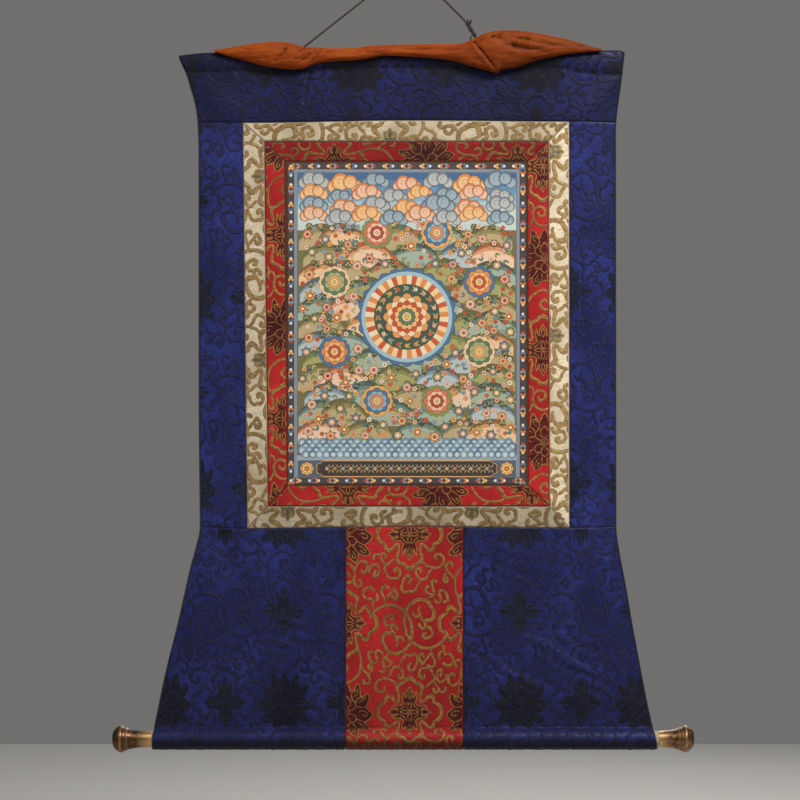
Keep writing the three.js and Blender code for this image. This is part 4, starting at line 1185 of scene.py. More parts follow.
def laid_figure(name, drawing, cut, anchor, turn, size, threads):
    """Flat figure of one cloth: its places, its own lift, its faces and their threads."""
    cell = bpy.data.meshes.new(name)
    cell.from_pydata((np.array(drawing["points"]) * MM).tolist(), [], drawing["faces"])
    parts = cell.attributes.new("part", "INT", "FACE")
    parts.data.foreach_set("value", drawing["parts"])
    corners_x, corners_z = places(cut, np.array([0, 0, 1, 1, 0.5]), np.array([0, 1, 0, 1, 0.5]))
    away = turned(np.stack([corners_x, corners_z], 1) - anchor, -turn) / size
    nearest = np.round(away[-1])
    columns, rows = (2 * np.ceil(np.abs(away - nearest).max(axis=0)) + 1).astype(int)
    place = np.array(anchor) + turned(nearest * size, turn)
    values = {
        "Columns": int(columns), "Rows": int(rows), "Width": size[0] * MM, "Height": size[1] * MM,
        "Turn": (0, 0, math.radians(turn)), "Place": (*(place * MM), 0), **dict(zip(THREADS, threads)),
    }
    mesh = grown(name, cell, repeating, values)
    points = np.empty(len(mesh.vertices) * 3, np.float32)
    mesh.vertices.foreach_get("co", points)
    points = points.reshape(-1, 3).astype(float) / MM
    s, t = shares_at(cut, points[:, 0], points[:, 1])
    width, height = corners_x[2] - corners_x[0], corners_z[0] - corners_z[1]
    margin_s, margin_t = EDGE_MARGIN / width, EDGE_MARGIN / height
    inside = (s > margin_s) & (s < 1 - margin_s) & (t > margin_t) & (t < 1 - margin_t)
    x, z = places(cut, np.clip(s, margin_s, 1 - margin_s), np.clip(t, margin_t, 1 - margin_t))
    keep = [face for face in mesh.polygons if any(inside[k] for k in face.vertices)]
    used = np.zeros(len(points), bool)
    for face in keep:
        used[list(face.vertices)] = True
    number = np.cumsum(used) - 1
    faces = [[int(number[k]) for k in face.vertices] for face in keep]
    finish = [threads.index(mesh.materials[face.material_index]) for face in keep]
    return x[used], z[used], points[used, 2], faces, finish


def cushioned(x, z, height):
    """Lift of the ground by its distance from the figure's points."""
    tree = kdtree.KDTree(len(x))
    for k in range(len(x)):
        tree.insert((x[k], z[k], 0), k)
    tree.balance()

    def lift(at_x, at_z):
        pairs = zip(at_x.ravel(), at_z.ravel())
        away = np.array([tree.find((px, pz, 0))[2] for px, pz in pairs]).reshape(at_x.shape)
        return height * (1 - bump_at(np.maximum(away - LINE_REACH, 0), CUSHION_REACH))

    return lift


# %% [markdown]
# A maker cuts fourteen pieces of brocade for this mounting. Their cuts come from the seams between
# them: the two cross seams, the two selvedges, and the corners of three nested frames that hang a
# little out of square. Each frame strip is mitred at 45 degrees, and neighbours are sewn together.

# %% Seams and cuts
HALF_GAP = SEAM_GAP / 2
MITRE_GAP = HALF_GAP * math.sqrt(2)
DOOR_LEFT, DOOR_RIGHT = -79.2, 68.3
CREAM = {"tl": (-207.8, -192.8), "tr": (201.1, -191.5), "br": (201.1, -700.2), "bl": (-202.2, -700.8)}
RED = {"tl": (-180.7, -216.1), "tr": (175.1, -216.1), "br": (176.1, -673.1), "bl": (-175.9, -673.1)}
FIELD = {"tl": (-154.9, -241.6), "tr": (148.1, -241.6), "br": (149.4, -646.9), "bl": (-151.5, -646.9)}


def upright(a, b, shift=0.0):
    """Straight seam through two corners, as x for a height."""
    return lambda z: blend(a[0], b[0], (z - a[1]) / (b[1] - a[1])) + shift


def level(a, b, shift=0.0):
    """Straight seam through two corners, as the height for an x."""
    return lambda x: blend(a[1], b[1], (x - a[0]) / (b[0] - a[0])) + shift


def shifted(line, distance):
    """A line moved by a distance."""
    return lambda at: line(at) + distance


def straight(value):
    """A line that is upright or level."""
    return lambda at: value + 0 * at


def on_line(edge):
    """A side edge as it runs on the flat cloth, also where that is bent round the rod."""
    return lambda z: edge(true_height(z))


def strip_cuts(outer, inner, top_seam, bottom_seam):
    """Cuts of the four mitred strips between two nested frames."""
    return {
        "top": (
            upright(outer["tl"], inner["tl"], MITRE_GAP), upright(outer["tr"], inner["tr"], -MITRE_GAP),
            shifted(top_seam, -HALF_GAP), level(inner["tl"], inner["tr"], HALF_GAP),
        ),
        "bottom": (
            upright(outer["bl"], inner["bl"], MITRE_GAP), upright(outer["br"], inner["br"], -MITRE_GAP),
            level(inner["bl"], inner["br"], -HALF_GAP), shifted(bottom_seam, HALF_GAP),
        ),
        "left": (
            upright(outer["tl"], outer["bl"], HALF_GAP), upright(inner["tl"], inner["bl"], -HALF_GAP),
            level(outer["tl"], inner["tl"], -MITRE_GAP), level(outer["bl"], inner["bl"], MITRE_GAP),
        ),
        "right": (
            upright(inner["tr"], inner["br"], HALF_GAP), upright(outer["tr"], outer["br"], -HALF_GAP),
            level(outer["tr"], inner["tr"], -MITRE_GAP), level(outer["br"], inner["br"], MITRE_GAP),
        ),
    }


cream_cuts = strip_cuts(CREAM, RED, heading_seam, waist_seam)
red_cuts = strip_cuts(RED, FIELD, level(RED["tl"], RED["tr"]), level(RED["bl"], RED["br"]))
frame_left = upright(CREAM["tl"], CREAM["bl"], -HALF_GAP)
frame_right = upright(CREAM["tr"], CREAM["br"], HALF_GAP)
below_heading, above_waist = shifted(heading_seam, -HALF_GAP), shifted(waist_seam, HALF_GAP)
below_waist = shifted(waist_seam, -HALF_GAP)
door_left, door_right, cloth_end = straight(DOOR_LEFT), straight(DOOR_RIGHT), straight(CLOTH_END)
cuts = {
    "heading_panel": (left_selvedge, right_selvedge, heading_top, shifted(heading_seam, HALF_GAP)),
    "side_panel_left": (left_selvedge, frame_left, below_heading, above_waist),
    "side_panel_right": (frame_right, right_selvedge, below_heading, above_waist),
    "lower_panel_left": (
        on_line(left_selvedge), shifted(door_left, -HALF_GAP), below_waist, cloth_end,
    ),
    "lower_panel_right": (
        shifted(door_right, HALF_GAP), on_line(right_selvedge), below_waist, cloth_end,
    ),
    "door_panel": (
        shifted(door_left, HALF_GAP), shifted(door_right, -HALF_GAP), below_waist, cloth_end,
    ),
}
cuts.update({"cream_strip_" + side: cut for side, cut in cream_cuts.items()})
cuts.update({"red_strip_" + side: cut for side, cut in red_cuts.items()})
print("brocade pieces to cut:", len(cuts))

# %% [markdown]
# The top edge of the heading is turned over and stuffed, so it is a soft roll 8 mm thick, closed by
# a line of stitches. The roll is fullest in its middle and drawn in at the stitches.

# %% Stuffed hem
HEM = 8
HEM_DIMPLE = 0.5


def hem_swell(x, z):
    """How much further than plain cloth the hem stands off its middle."""
    share = np.clip((heading_top(x) - z) / (heading_top(x) - hem_stitch(x)), 0, 1)
    drawn_in = HEM_DIMPLE * hem_dashes(x, z)
    return (HEM - CLOTH) / 2 * np.maximum(np.sin(math.pi * share), 0) ** 0.6 - drawn_in


# %% [markdown]
# This table says how each panel was cut from its brocade: which cloth, where the cross of the repeat
# falls on it, whether it was cut across the cloth, the size of the repeat, how bold its lines are,
# how high the ground stands between them, and how fine its mesh is. The last columns are the flat
# cloth that was cut, in millimetres, with the cut's true area as a share of that rectangle. A second
# table says how much painted shade darkens each cloth, at its top and at its foot. It stands in for
# the sheen and shade that differ with the way each strip faces the light, and makes the lower panels
# darker towards the bottom.

# %% Table of the brocade panels
# cloth, anchor, turn, size, boldness, cushion, step, flat, cut_share
PANELS = {
    "heading_panel": ("blue", (-66.5, -197.75), 90, (150, 227), 1.3, 0.2, 1.9, (561, 114), 0.94),
    "side_panel_left": ("blue", (-198.4, -411.5), 0, (150, 239), 1.3, 0.25, 2.0, (61, 508), 0.98),
    "side_panel_right": ("blue", (204.1, -403.4), 0, (150, 239), 1.3, 0.25, 2.0, (58, 508), 0.98),
    "lower_panel_left": ("blue", (-229.6, -917.75), 0, (150, 227), 1.3, 0.7, 2.0, (240, 336), 0.88),
    "lower_panel_right": ("blue", (215.4, -917.75), 0, (150, 227), 1.3, 1.0, 2.0, (241, 336), 0.9),
    "door_panel": ("red", (1.0, -930.25), 0, (158, 222), 1.2, 0.45, 1.9, (147, 336), 1.0),
    "cream_strip_top": ("cream", (-23.4, -226.5), 90, (150, 230), 1.5, 0.2, 2.0, (408, 26), 0.93),
    "cream_strip_bottom": ("cream", (78.75, -664), 90, (150, 230), 1.5, 0.2, 2.0, (403, 27), 0.93),
    "cream_strip_left": ("cream", (-170.25, -260.25), 0, (150, 230), 1.5, 0.2, 2.0, (32, 507), 0.94),
    "cream_strip_right": ("cream", (167.9, -229.6), 0, (150, 230), 1.5, 0.2, 2.0, (26, 508), 0.94),
    "red_strip_top": ("red", (21.6, -319), 90, (150, 230), 1.15, 0.2, 2.0, (355, 25), 0.93),
    "red_strip_bottom": ("red", (39.1, -570), 90, (150, 230), 1.15, 0.2, 2.0, (351, 26), 0.93),
    "red_strip_left": ("red", (-79, -219), 0, (150, 230), 1.15, 0.2, 2.0, (29, 456), 0.94),
    "red_strip_right": ("red", (95, -362.75), 0, (150, 230), 1.15, 0.2, 2.0, (28, 456), 0.94),
}
# painted shade at the top, painted shade at the foot
PAINTED_SHADE_BY_PANEL = {
    "heading_panel": (0.54, 0.54), "side_panel_left": (0.12, 0), "side_panel_right": (0.12, 0),
    "lower_panel_left": (0.12, 0.38), "lower_panel_right": (0.12, 0.38), "door_panel": (0.12, 0.3),
    "cream_strip_top": (0.28, 0.28), "cream_strip_bottom": (0.48, 0.48),
    "cream_strip_left": (0.26, 0.34), "cream_strip_right": (0.02, 0.04),
    "red_strip_top": (0.44, 0.44), "red_strip_bottom": (0.12, 0.12), "red_strip_left": (0.08, 0),
    "red_strip_right": (0.02, 0),
}
CLOTHS = {
    "blue": (GROUNDS["blue"], ON_BLUE, "blue_brocade"),
    "red": (GROUNDS["red"], ON_RED, "red_brocade"),
    "cream": (GROUNDS["cream"], ON_CREAM, "cream_brocade"),
}

# %% [markdown]
# Every panel is now cut, woven and hung. The figure is laid first, because the ground has to know
# where it stands up between the lines. Both are pieces of their own, and the figure goes with its
# cloth.

# %% Brocade panels
drawings, figures, sheets = {}, {}, {}
for name, row in PANELS.items():
    cloth, anchor, turn, size, boldness, cushion, step, flat, cut_share = row
    # painted shade of this panel, at its top and at its foot
    shade_and_soil = PAINTED_SHADE_BY_PANEL[name]
    ground, threads, slot = CLOTHS[cloth]
    cut = cuts[name]
    swell = hem_swell if name == "heading_panel" else None
    if (size, boldness) not in drawings:
        drawings[(size, boldness)] = drawn_repeat(size, boldness)
    laid_out = laid_figure(
        name + "_repeat", drawings[(size, boldness)], cut, anchor, turn, size, threads
    )
    x, z, own_lift, faces, finish = laid_out
    lift = face_lift(cut, x, z, CLOTH / 2) + own_lift + (swell(x, z) if swell else 0)
    figure = make_mesh(name + "_figure", hung(x, z, lift), faces, finish)
    mark_shade_and_soil(figure, cut, x, z, shade_and_soil)
    figures[name] = make_object(name + "_figure", figure, threads)
    mesh = cloth_mesh(name, cut, step, CLOTH / 2, swell, cushioned(x, z, cushion), shade_and_soil)
    sheets[name] = make_object(name + "_cloth", mesh, [ground, lining])
    dress(sheets[name], slot, [name])
    dress(figures[name], slot)
    print(name, "cloth", triangles_of(sheets[name]), "figure", triangles_of(figures[name]))
    area = cut_share * flat[0] * flat[1] * MM**2


# %% [markdown]
# The painted field is cotton primed with chalk and glue. A painter lays flat colour first, then
# draws a dark line round it, and works from the sky forward. The design is built the same way: each
# shape is an outline and a colour, laid over what is there. It is a plain garden of lotus rosettes,
# clouds, hills, trees and water, made for this lesson.

# %% A painter's shapes
INK = "2a2320"
INK_LINE = 0.48
paint = {"shapes": [], "colours": []}


def daub(outline, colour):
    """Lays one flat shape of colour over what is there already."""
    outline = np.asarray(outline, float)
    x, z = outline.T
    area = np.sum(x * np.roll(z, -1) - np.roll(x, -1) * z)
    paint["shapes"].append(outline if area > 0 else outline[::-1])
    paint["colours"].append(colour)


def inked(outline, colour, line=INK_LINE, ink=INK):
    """A flat shape with a dark line round it."""
    outline = np.asarray(outline, float)
    middle = outline.mean(axis=0)
    away = outline - middle
    reach = np.linalg.norm(away, axis=1)[:, None]
    daub(middle + away * (1 + line / reach), ink)
    daub(outline, colour)


def lobed(x, z, radius, lobes, depth, turn=0.0, points=4):
    """Round outline with so many rounded petals, cut in by a share of its radius."""
    angle = np.linspace(0, 2 * math.pi, lobes * points, endpoint=False)
    reach = radius * (1 - depth * (1 - np.abs(np.cos(lobes * angle / 2))))
    angle += math.radians(turn)
    return np.stack([x + reach * np.cos(angle), z + reach * np.sin(angle)], axis=1)


def leaf(x, z, length, turn, fat=0.3):
    """Pointed leaf that starts at a place and points the way it is turned."""
    half = [(0, 0), (0.28, 0.95), (0.68, 0.75), (1, 0)]
    side = np.array(half) * (length, length * fat / 2)
    return turned(np.vstack([side, mirrored(side[1:-1], 1, -1)[::-1]]), turn, (x, z))


def ribbon(points, width, colour):
    """A brush line that is thin at both ends."""
    line = rounded_line(points, 3)
    ahead = np.gradient(line, axis=0)
    aside = np.stack([-ahead[:, 1], ahead[:, 0]], axis=1) / np.linalg.norm(ahead, axis=1)[:, None]
    share = np.sin(np.linspace(0.12, 0.92, len(line)) * math.pi)[:, None]
    daub(np.vstack([line + aside * share * width / 2, (line - aside * share * width / 2)[::-1]]), colour)


# %% [markdown]
# The motifs are small functions of these shapes. Each takes its place, its size and its tints, from
# the outside in, so the same rosette serves large and small.

# %% Motifs
HILL_FOOT = 15


def rosette(x, z, radius, petals, tints):
    """Lotus seen from above: rings of petals, each ring half a petal round from the last."""
    for k, tint in enumerate(tints):
        reach = radius * (1 - k / len(tints)) ** 0.9
        inked(lobed(x, z, reach, petals, 0.16, 180 / petals * (k % 2)), tint)
    inked(lobed(x, z, radius * 0.12, 8, 0, points=1), "e6b04a")


def rays(x, z, outer, inner, count, tints):
    """Ring of wedges in two turns of colour."""
    for k in range(count):
        low, high = 2 * math.pi * k / count, 2 * math.pi * (k + 1) / count
        wedge = [(outer, low), (outer, (low + high) / 2), (outer, high), (inner, high), (inner, low)]
        daub([(x + r * math.cos(a), z + r * math.sin(a)) for r, a in wedge], tints[k % len(tints)])


def blossom(x, z, radius, tint, heart, turn=0.0):
    """Five-petalled flower."""
    inked(lobed(x, z, radius, 5, 0.28, turn, points=2), tint, 0.32)
    daub(lobed(x, z, radius * 0.34, 5, 0, points=1), heart)


def cloud(x, z, width, tints):
    """Bank of round puffs, each with a paler rim and a curl."""
    for share, size in ((-0.34, 0.21), (0.36, 0.2), (-0.13, 0.28), (0.17, 0.22)):
        puff_x, reach = x + share * width, width * size
        puff_z = z + (0.14 if size > 0.21 else 0) * width
        inked(lobed(puff_x, puff_z, reach, 11, 0, points=1), tints[0])
        daub(lobed(puff_x, puff_z - 0.12 * reach, reach * 0.8, 9, 0, points=1), tints[1])
        curl = [(0.5, 0.1), (0.1, 0.5), (-0.4, 0.2), (-0.3, -0.3), (0.1, -0.2)]
        ribbon(np.array(curl) * reach * 0.8 + (puff_x, puff_z), 0.5, tints[2])


def hill(x, z, width, height, tints):
    """Rounded hill, dark at its crest and pale at its foot."""
    share = np.linspace(-1, 1, 13)
    crest = np.stack([x + share * width / 2, z + height * np.cos(share * math.pi / 2) ** 0.7], axis=1)
    low = z - HILL_FOOT
    foot = [(x + width / 2, low), (x - width / 2, low)]
    daub(np.vstack([crest + (0, 0.6), foot]), INK)
    for k, tint in enumerate(tints):
        lowered = [(place_x, low + (place_z - low) * (1 - 0.16 * k)) for place_x, place_z in crest]
        daub(np.vstack([lowered, foot]), tint)


def tree(x, z, size, tints):
    """Round dark tree with pale tufts of leaves."""
    daub([(x - 0.06 * size, z), (x + 0.06 * size, z), (x, z + 0.5 * size)], "5b3a26")
    inked(lobed(x, z + 0.62 * size, 0.42 * size, 7, 0.14, points=2), tints[0], 0.32)
    for away_x, away_z in ((-0.19, 0.48), (0.19, 0.48), (0, 0.7)):
        for way in (62, 118):
            daub(leaf(x + away_x * size, z + away_z * size, 0.26 * size, way, 0.4), tints[1])


def sprig(x, z, length, turn, tint):
    """Short stem with a pair of leaves."""
    for bend in (-34, 34):
        inked(leaf(x, z, length, turn + bend, 0.42), tint, 0.26)


# %% [markdown]
# The field is ruled first, from its outer edge in: a dark edge, a border of leaves and beads, a
# double frame line in grey blue, and a low panel across the foot. Sizes are millimetres on the cloth.
# The paint is laid a little past the canvas, and is drawn in to its edge when the skin is hung.

# %% Ruling the field
FIELD_LEFT, FIELD_RIGHT, FIELD_TOP, FIELD_FOOT = -153.2, 148.7, -241.6, -646.9
DARK_EDGE, BORDER, FRAME_LINE, FOOT_PANEL = 2.2, 9.4, 4.8, 24
FOOT_LINE = FIELD_FOOT + BORDER + FOOT_PANEL
VIEW_LEFT, VIEW_RIGHT = FIELD_LEFT + BORDER + FRAME_LINE, FIELD_RIGHT - BORDER - FRAME_LINE
VIEW_TOP, VIEW_FOOT = FIELD_TOP - BORDER - FRAME_LINE, FOOT_LINE + FRAME_LINE
MID_X, MID_Z = (VIEW_LEFT + VIEW_RIGHT) / 2, (VIEW_TOP + VIEW_FOOT) / 2
PANEL_STEP, BORDER_STEP = 9, 11.3
TOP_LEFT, TOP_RIGHT = (FIELD_LEFT, FIELD_TOP), (FIELD_RIGHT, FIELD_TOP)
FOOT_LEFT, FOOT_RIGHT = (FIELD_LEFT, FIELD_FOOT), (FIELD_RIGHT, FIELD_FOOT)
# start, end, way inwards
BORDER_SIDES = (
    (TOP_LEFT, TOP_RIGHT, (0, -1)), (FOOT_LEFT, FOOT_RIGHT, (0, 1)),
    (TOP_LEFT, FOOT_LEFT, (1, 0)), (TOP_RIGHT, FOOT_RIGHT, (-1, 0)),
)
LEAF_TINTS = ("d9772e", "8f97a3", "e9a35c", "5b6f8c")
BEAD_TINTS = ("f0e2cf", "c43a22", "f2c58a", "d7dce0")


def panel(left, foot, right, top, colour):
    """Plain rectangle of colour, with points along its sides so that it can bend."""
    corners = np.array([(left, foot), (right, foot), (right, top), (left, top)])
    sides = []
    for start, end in zip(corners, np.roll(corners, -1, axis=0)):
        steps = max(int(np.linalg.norm(end - start) // PANEL_STEP), 1)
        sides.append(np.linspace(start, end, steps, endpoint=False))
    daub(np.vstack(sides), colour)


def nested(margin, colour):
    """Rectangle that stays a margin inside the edge of the field."""
    panel(FIELD_LEFT + margin, FIELD_FOOT + margin, FIELD_RIGHT - margin, FIELD_TOP - margin, colour)


panel(FIELD_LEFT - 3, FIELD_FOOT - 2, FIELD_RIGHT + 3, FIELD_TOP + 2, "1f1a1c")
nested(DARK_EDGE, "33343f")
for side, (start, end, inwards) in enumerate(BORDER_SIDES):
    start, end = np.array(start), np.array(end)
    inwards = np.array(inwards) * (BORDER + DARK_EDGE) / 2
    count = int(np.linalg.norm(end - start) // BORDER_STEP)
    way = math.degrees(math.atan2(*(end - start)[::-1]))
    for k in range(count):
        at = start + inwards + (end - start) * (k + 0.5) / count
        kind = (k + side) % 4
        for bend in (150, 210) if k % 2 else (-30, 30):
            inked(leaf(*at, 6.4, way + bend, 0.5), LEAF_TINTS[kind], 0.25)
        inked(lobed(*at, 2, 6, 0.2, points=2), BEAD_TINTS[kind], 0.25)
for margin, colour in ((0, "2b3442"), (0.6, "8698a6"), (2.2, "6d8092"), (3.6, "99a9b4")):
    nested(BORDER + margin, colour)
panel(VIEW_LEFT - 0.6, VIEW_FOOT - 0.6, VIEW_RIGHT + 0.6, VIEW_TOP + 0.6, "2b3442")

# %% [markdown]
# The low panel holds a dark lobed field with a row of gilt flowers and leaves, and a rosette at each
# end on slate blue.

# %% Foot panel
PANEL_MIDDLE = FIELD_FOOT + BORDER + FOOT_PANEL / 2 - 0.6
HALF_PANEL = FOOT_PANEL / 2 - 1.6
LOBED_REACH = 104

panel(VIEW_LEFT, PANEL_MIDDLE - HALF_PANEL, VIEW_RIGHT, PANEL_MIDDLE + HALF_PANEL, "465c70")
for reach, colour in ((1.16, "e9a860"), (1.0, "23262c")):
    for side in (-1, 1):
        end_x = MID_X + side * LOBED_REACH
        inked(lobed(end_x, PANEL_MIDDLE, HALF_PANEL * reach * 0.86, 6, 0.24, 30), colour)
    half = HALF_PANEL * min(reach * 0.9, 1)
    panel(MID_X - LOBED_REACH, PANEL_MIDDLE - half, MID_X + LOBED_REACH, PANEL_MIDDLE + half, colour)
for k in range(21):
    x = MID_X + (k - 10) * 10
    blossom(x, PANEL_MIDDLE, 2.6, ("d9b98c", "c98d5a", "b7aea0")[k % 3], "6b2a1c", 90)
    for lean in (-1, 1):
        for rise in (-1, 1):
            way = rise * (90 - 32 * lean)
            daub(leaf(x + 5 + lean * 0.6, PANEL_MIDDLE + rise, 5.4, way, 0.34), "a58c62")
for side in (-1, 1):
    rosette(MID_X + side * 125, PANEL_MIDDLE, 8.4, 8, ("e9a860", "f4cf8e", "d9772e"))

# %% [markdown]
# Behind everything lies the sky, deep blue at the top and pale below, and then the green ground.
# Hills stand in staggered rows, each row nearer and lower, with trees on them and water at the foot.

# %% Sky, hills and water
SKY = ("2f6493", "3f7aa8", "5c94b8", "85b0c6", "a9c7cf", "c6d4cc")
HILL_TINTS = (
    ("5b6434", "7f8447", "a5a368"), ("4a6072", "7d95a4", "b7c1c3"), ("8c5c34", "cd9560", "eec598"),
    ("3d5652", "67837a", "a0b3a0"), ("66603c", "8f8352", "bda67c"), ("a05a3c", "d9946c", "f0c8a8"),
)
TREE_TINTS = (("3c4a35", "b9ad6d"), ("2f4240", "8fa287"), ("4a5436", "cdbf85"))
draw = np.random.default_rng(11)

for k, tint in enumerate(SKY):
    panel(VIEW_LEFT, VIEW_FOOT, VIEW_RIGHT, VIEW_TOP - 9 * k, tint)
HORIZON = VIEW_TOP - 74
panel(VIEW_LEFT, VIEW_FOOT, VIEW_RIGHT, HORIZON + 2, "6d6a48")
BIG_X, BIG_Z, BIG = MID_X, MID_Z - 4, 62
ROW_STEP, ROWS = 22, 12
for row in range(ROWS):
    z = HORIZON - ROW_STEP * row
    for k in range(5):
        x = VIEW_LEFT + (VIEW_RIGHT - VIEW_LEFT) * (k + 0.5 * (row % 2)) / 4.5
        x = min(max(x + draw.uniform(-7, 7), VIEW_LEFT + 30), VIEW_RIGHT - 30)
        wide, high = draw.uniform(54, 60), draw.uniform(15, 20)
        hill(x, z - 8, wide, high, HILL_TINTS[draw.integers(6)])
        for _ in range(3):
            place_x, rise = x + draw.uniform(-21, 21), draw.uniform(-3, 4)
            size, tints = draw.uniform(8.5, 11.5), TREE_TINTS[draw.integers(3)]
            if math.hypot(place_x - BIG_X, z - BIG_Z) > BIG:
                tree(place_x, z - 3 + rise, size, tints)
print("shapes so far:", len(paint["shapes"]))

WATER_TOP = VIEW_FOOT + 20
for row in range(4):
    for k in range(32):
        x = VIEW_LEFT + 6 + (k + 0.5 * (row % 2)) * 8.6
        if x < VIEW_RIGHT - 5:
            tint = ("6d93a8", "547f99", "86a7b4")[(k + row) % 3]
            inked(lobed(x, WATER_TOP - 5 * row - 4, 5.2, 10, 0, points=1), tint, 0.25)
            daub(lobed(x, WATER_TOP - 5 * row - 5, 3, 7, 0, points=1), "c9d6d6")

# %% [markdown]
# The large rosette stands in the middle, on rings of blue, wedges of orange and cream, and a wreath.
# Eight smaller ones lie round it, and garlands of flowers run between them. Banks of cloud fill the
# sky, and blossoms fill what is left, so no ground stays bare, as in the real painting.

# %% Rosettes and garlands
WARM = ("e08a4a", "f0b878", "c9482c", "f3d3a6")
COOL = ("3f6f96", "8fb0bd", "d98a52", "e9d2ac")
ROSY = ("d9735a", "f2c0a0", "b5402c", "f4dcc0")
LEAFY = ("57764f", "9fb083", "e0a058", "f0d9a8")
BLOSSOMS = ("e9a06a", "f2c9a2", "d8694a", "e7b6a4", "f0e0c4", "8fa9b5", "c9533a", "efb15c")

inked(lobed(BIG_X, BIG_Z, BIG, 24, 0.06), "3a6f9b", 0.6)
inked(lobed(BIG_X, BIG_Z, BIG * 0.92, 36, 0, points=1), "9fc0cc", 0.4)
rays(BIG_X, BIG_Z, BIG * 0.84, BIG * 0.66, 48, ("e08a4a", "f4cf9a", "c9532f", "f0dcb8"))
inked(lobed(BIG_X, BIG_Z, BIG * 0.66, 28, 0, points=1), "2f4f45", 0.4)
for k in range(20):
    angle = 2 * math.pi * k / 20
    at = BIG_X + BIG * 0.58 * math.cos(angle), BIG_Z + BIG * 0.58 * math.sin(angle)
    sprig(*at, 6, math.degrees(angle) + 90, "9fae72")
    blossom(*at, 2.9, BLOSSOMS[k % 8], "8c2f1e", math.degrees(angle))
rosette(BIG_X, BIG_Z, BIG * 0.48, 12, ("e59a58", "f6d6a8", "c9482c", "f0b878", "57764f", "f4dcc0"))

ring_places = []
for k in range(8):
    angle = 2 * math.pi * (k + 0.5) / 8
    at = np.array([MID_X + 98 * math.cos(angle), BIG_Z + 114 * math.sin(angle)])
    ring_places.append(at)
for k, at in enumerate(ring_places):
    onward = ring_places[(k + 1) % 8]
    middle = (at + onward) / 2
    swag = middle + (middle - (BIG_X, BIG_Z)) * 0.16
    line = rounded_line([at, swag, onward], 6.4)
    ribbon([at, swag, onward], 1.6, "7a3a24")
    for number, place in enumerate(line[2:-2]):
        sprig(*place, 6.4, 40 * number, ("7f9152", "a9ad6c", "5c7f6c")[number % 3])
        blossom(*place, 3.4, BLOSSOMS[(number + k) % 8], "7c2a1c", 31 * number)
for k, at in enumerate(ring_places):
    tints = (WARM, COOL, ROSY, LEAFY)[k % 4]
    inked(lobed(*at, 20, 16, 0.08), ("3a6f9b", "e9a860", "7f9152", "f0c9a0")[k % 4], 0.4)
    rosette(*at, 16.5, 8, tints)

# %% Clouds and scattered flowers
CLOUD_TINTS = (
    ("7d868e", "b8bcb9", "4d5560"), ("dc8c4a", "f0bf88", "a0492a"), ("607a8b", "9aafb8", "39495a"),
    ("cf7f58", "ecc0a0", "8f4530"),
)
for row, (drop, count, wide) in enumerate(((12, 7, 38), (27, 8, 36), (42, 7, 38), (54, 8, 34))):
    for k in range(count):
        x = VIEW_LEFT + 20 + (VIEW_RIGHT - VIEW_LEFT - 40) * k / (count - 1)
        cloud(x, VIEW_TOP - drop - 5 * (k % 2), wide * draw.uniform(0.8, 1.05), CLOUD_TINTS[(k + row) % 4])

SMALL_TINTS = (
    ("e08a4a", "f3d3a6", "c9482c"), ("3f6f96", "e9a06a", "f2d9b0"), ("d9735a", "f4d2b4", "b5402c"),
    ("efb15c", "c95a33", "f6dcae"), ("e7a488", "f6e2cc", "cf5b3c"), ("57764f", "efb680", "f4dcc0"),
)


def scatter(tries, gap, top):
    """Random places in the garden that keep a gap from one another and from the large rosettes."""
    found = []
    for _ in range(tries):
        x, z = draw.uniform(VIEW_LEFT + 6, VIEW_RIGHT - 6), draw.uniform(VIEW_FOOT + 22, top)
        taken = [math.hypot(x - at[0], z - at[1]) < 21 + gap / 2 for at in ring_places]
        taken += [math.hypot(x - at[0], z - at[1]) < gap for at in found]
        if not any(taken) and math.hypot(x - BIG_X, z - BIG_Z) > BIG + gap / 2:
            found.append((x, z))
    return found


small_places = scatter(900, 17, VIEW_TOP - 76)
for k, at in enumerate(small_places):
    leaf_tint = ("7f9152", "4f7f78", "c3b878")[k % 3]
    for way in range(0, 360, 60):
        inked(leaf(*at, 8.6, way + 8 * k, 0.36), leaf_tint, 0.3)
    size = draw.uniform(5, 6.6)
    for ring, tint in enumerate(SMALL_TINTS[draw.integers(6)]):
        inked(lobed(*at, size * (1 - 0.3 * ring), 7, 0.18, 26 * ring, points=2), tint, 0.36)
scattered = scatter(2600, 6.6, VIEW_TOP - 66)
for k, (x, z) in enumerate(scattered):
    if all(math.hypot(x - at[0], z - at[1]) > 8 for at in small_places):
        size, lean, tint = draw.uniform(2.8, 3.8), draw.uniform(0, 72), BLOSSOMS[draw.integers(8)]
        if k % 3:
            blossom(x, z, size, tint, "7c2a1c", lean)
        else:
            sprig(x, z, size * 1.9, lean * 5, ("7f9152", "c3b878", "4f7f78")[k // 3 % 3])
print("scattered flowers:", len(small_places), len(scattered), "shapes in all:", len(paint["shapes"]))

# %% [markdown]
# All shapes are now cut into one another, so the paint is a single skin of small triangles with no
# layers, and each triangle takes the colour of the shape that was laid last. Then only the lines
# between two colours are kept and the skin is cut again, so nothing hidden stays in it. Extra points,
# closer together along the edges, keep the triangles small, so the skin follows the hanging cloth.

# %% Cutting one skin of paint
SKIN_STEP = 12
EDGE_STEP, EDGE_SPARE = 3, 8


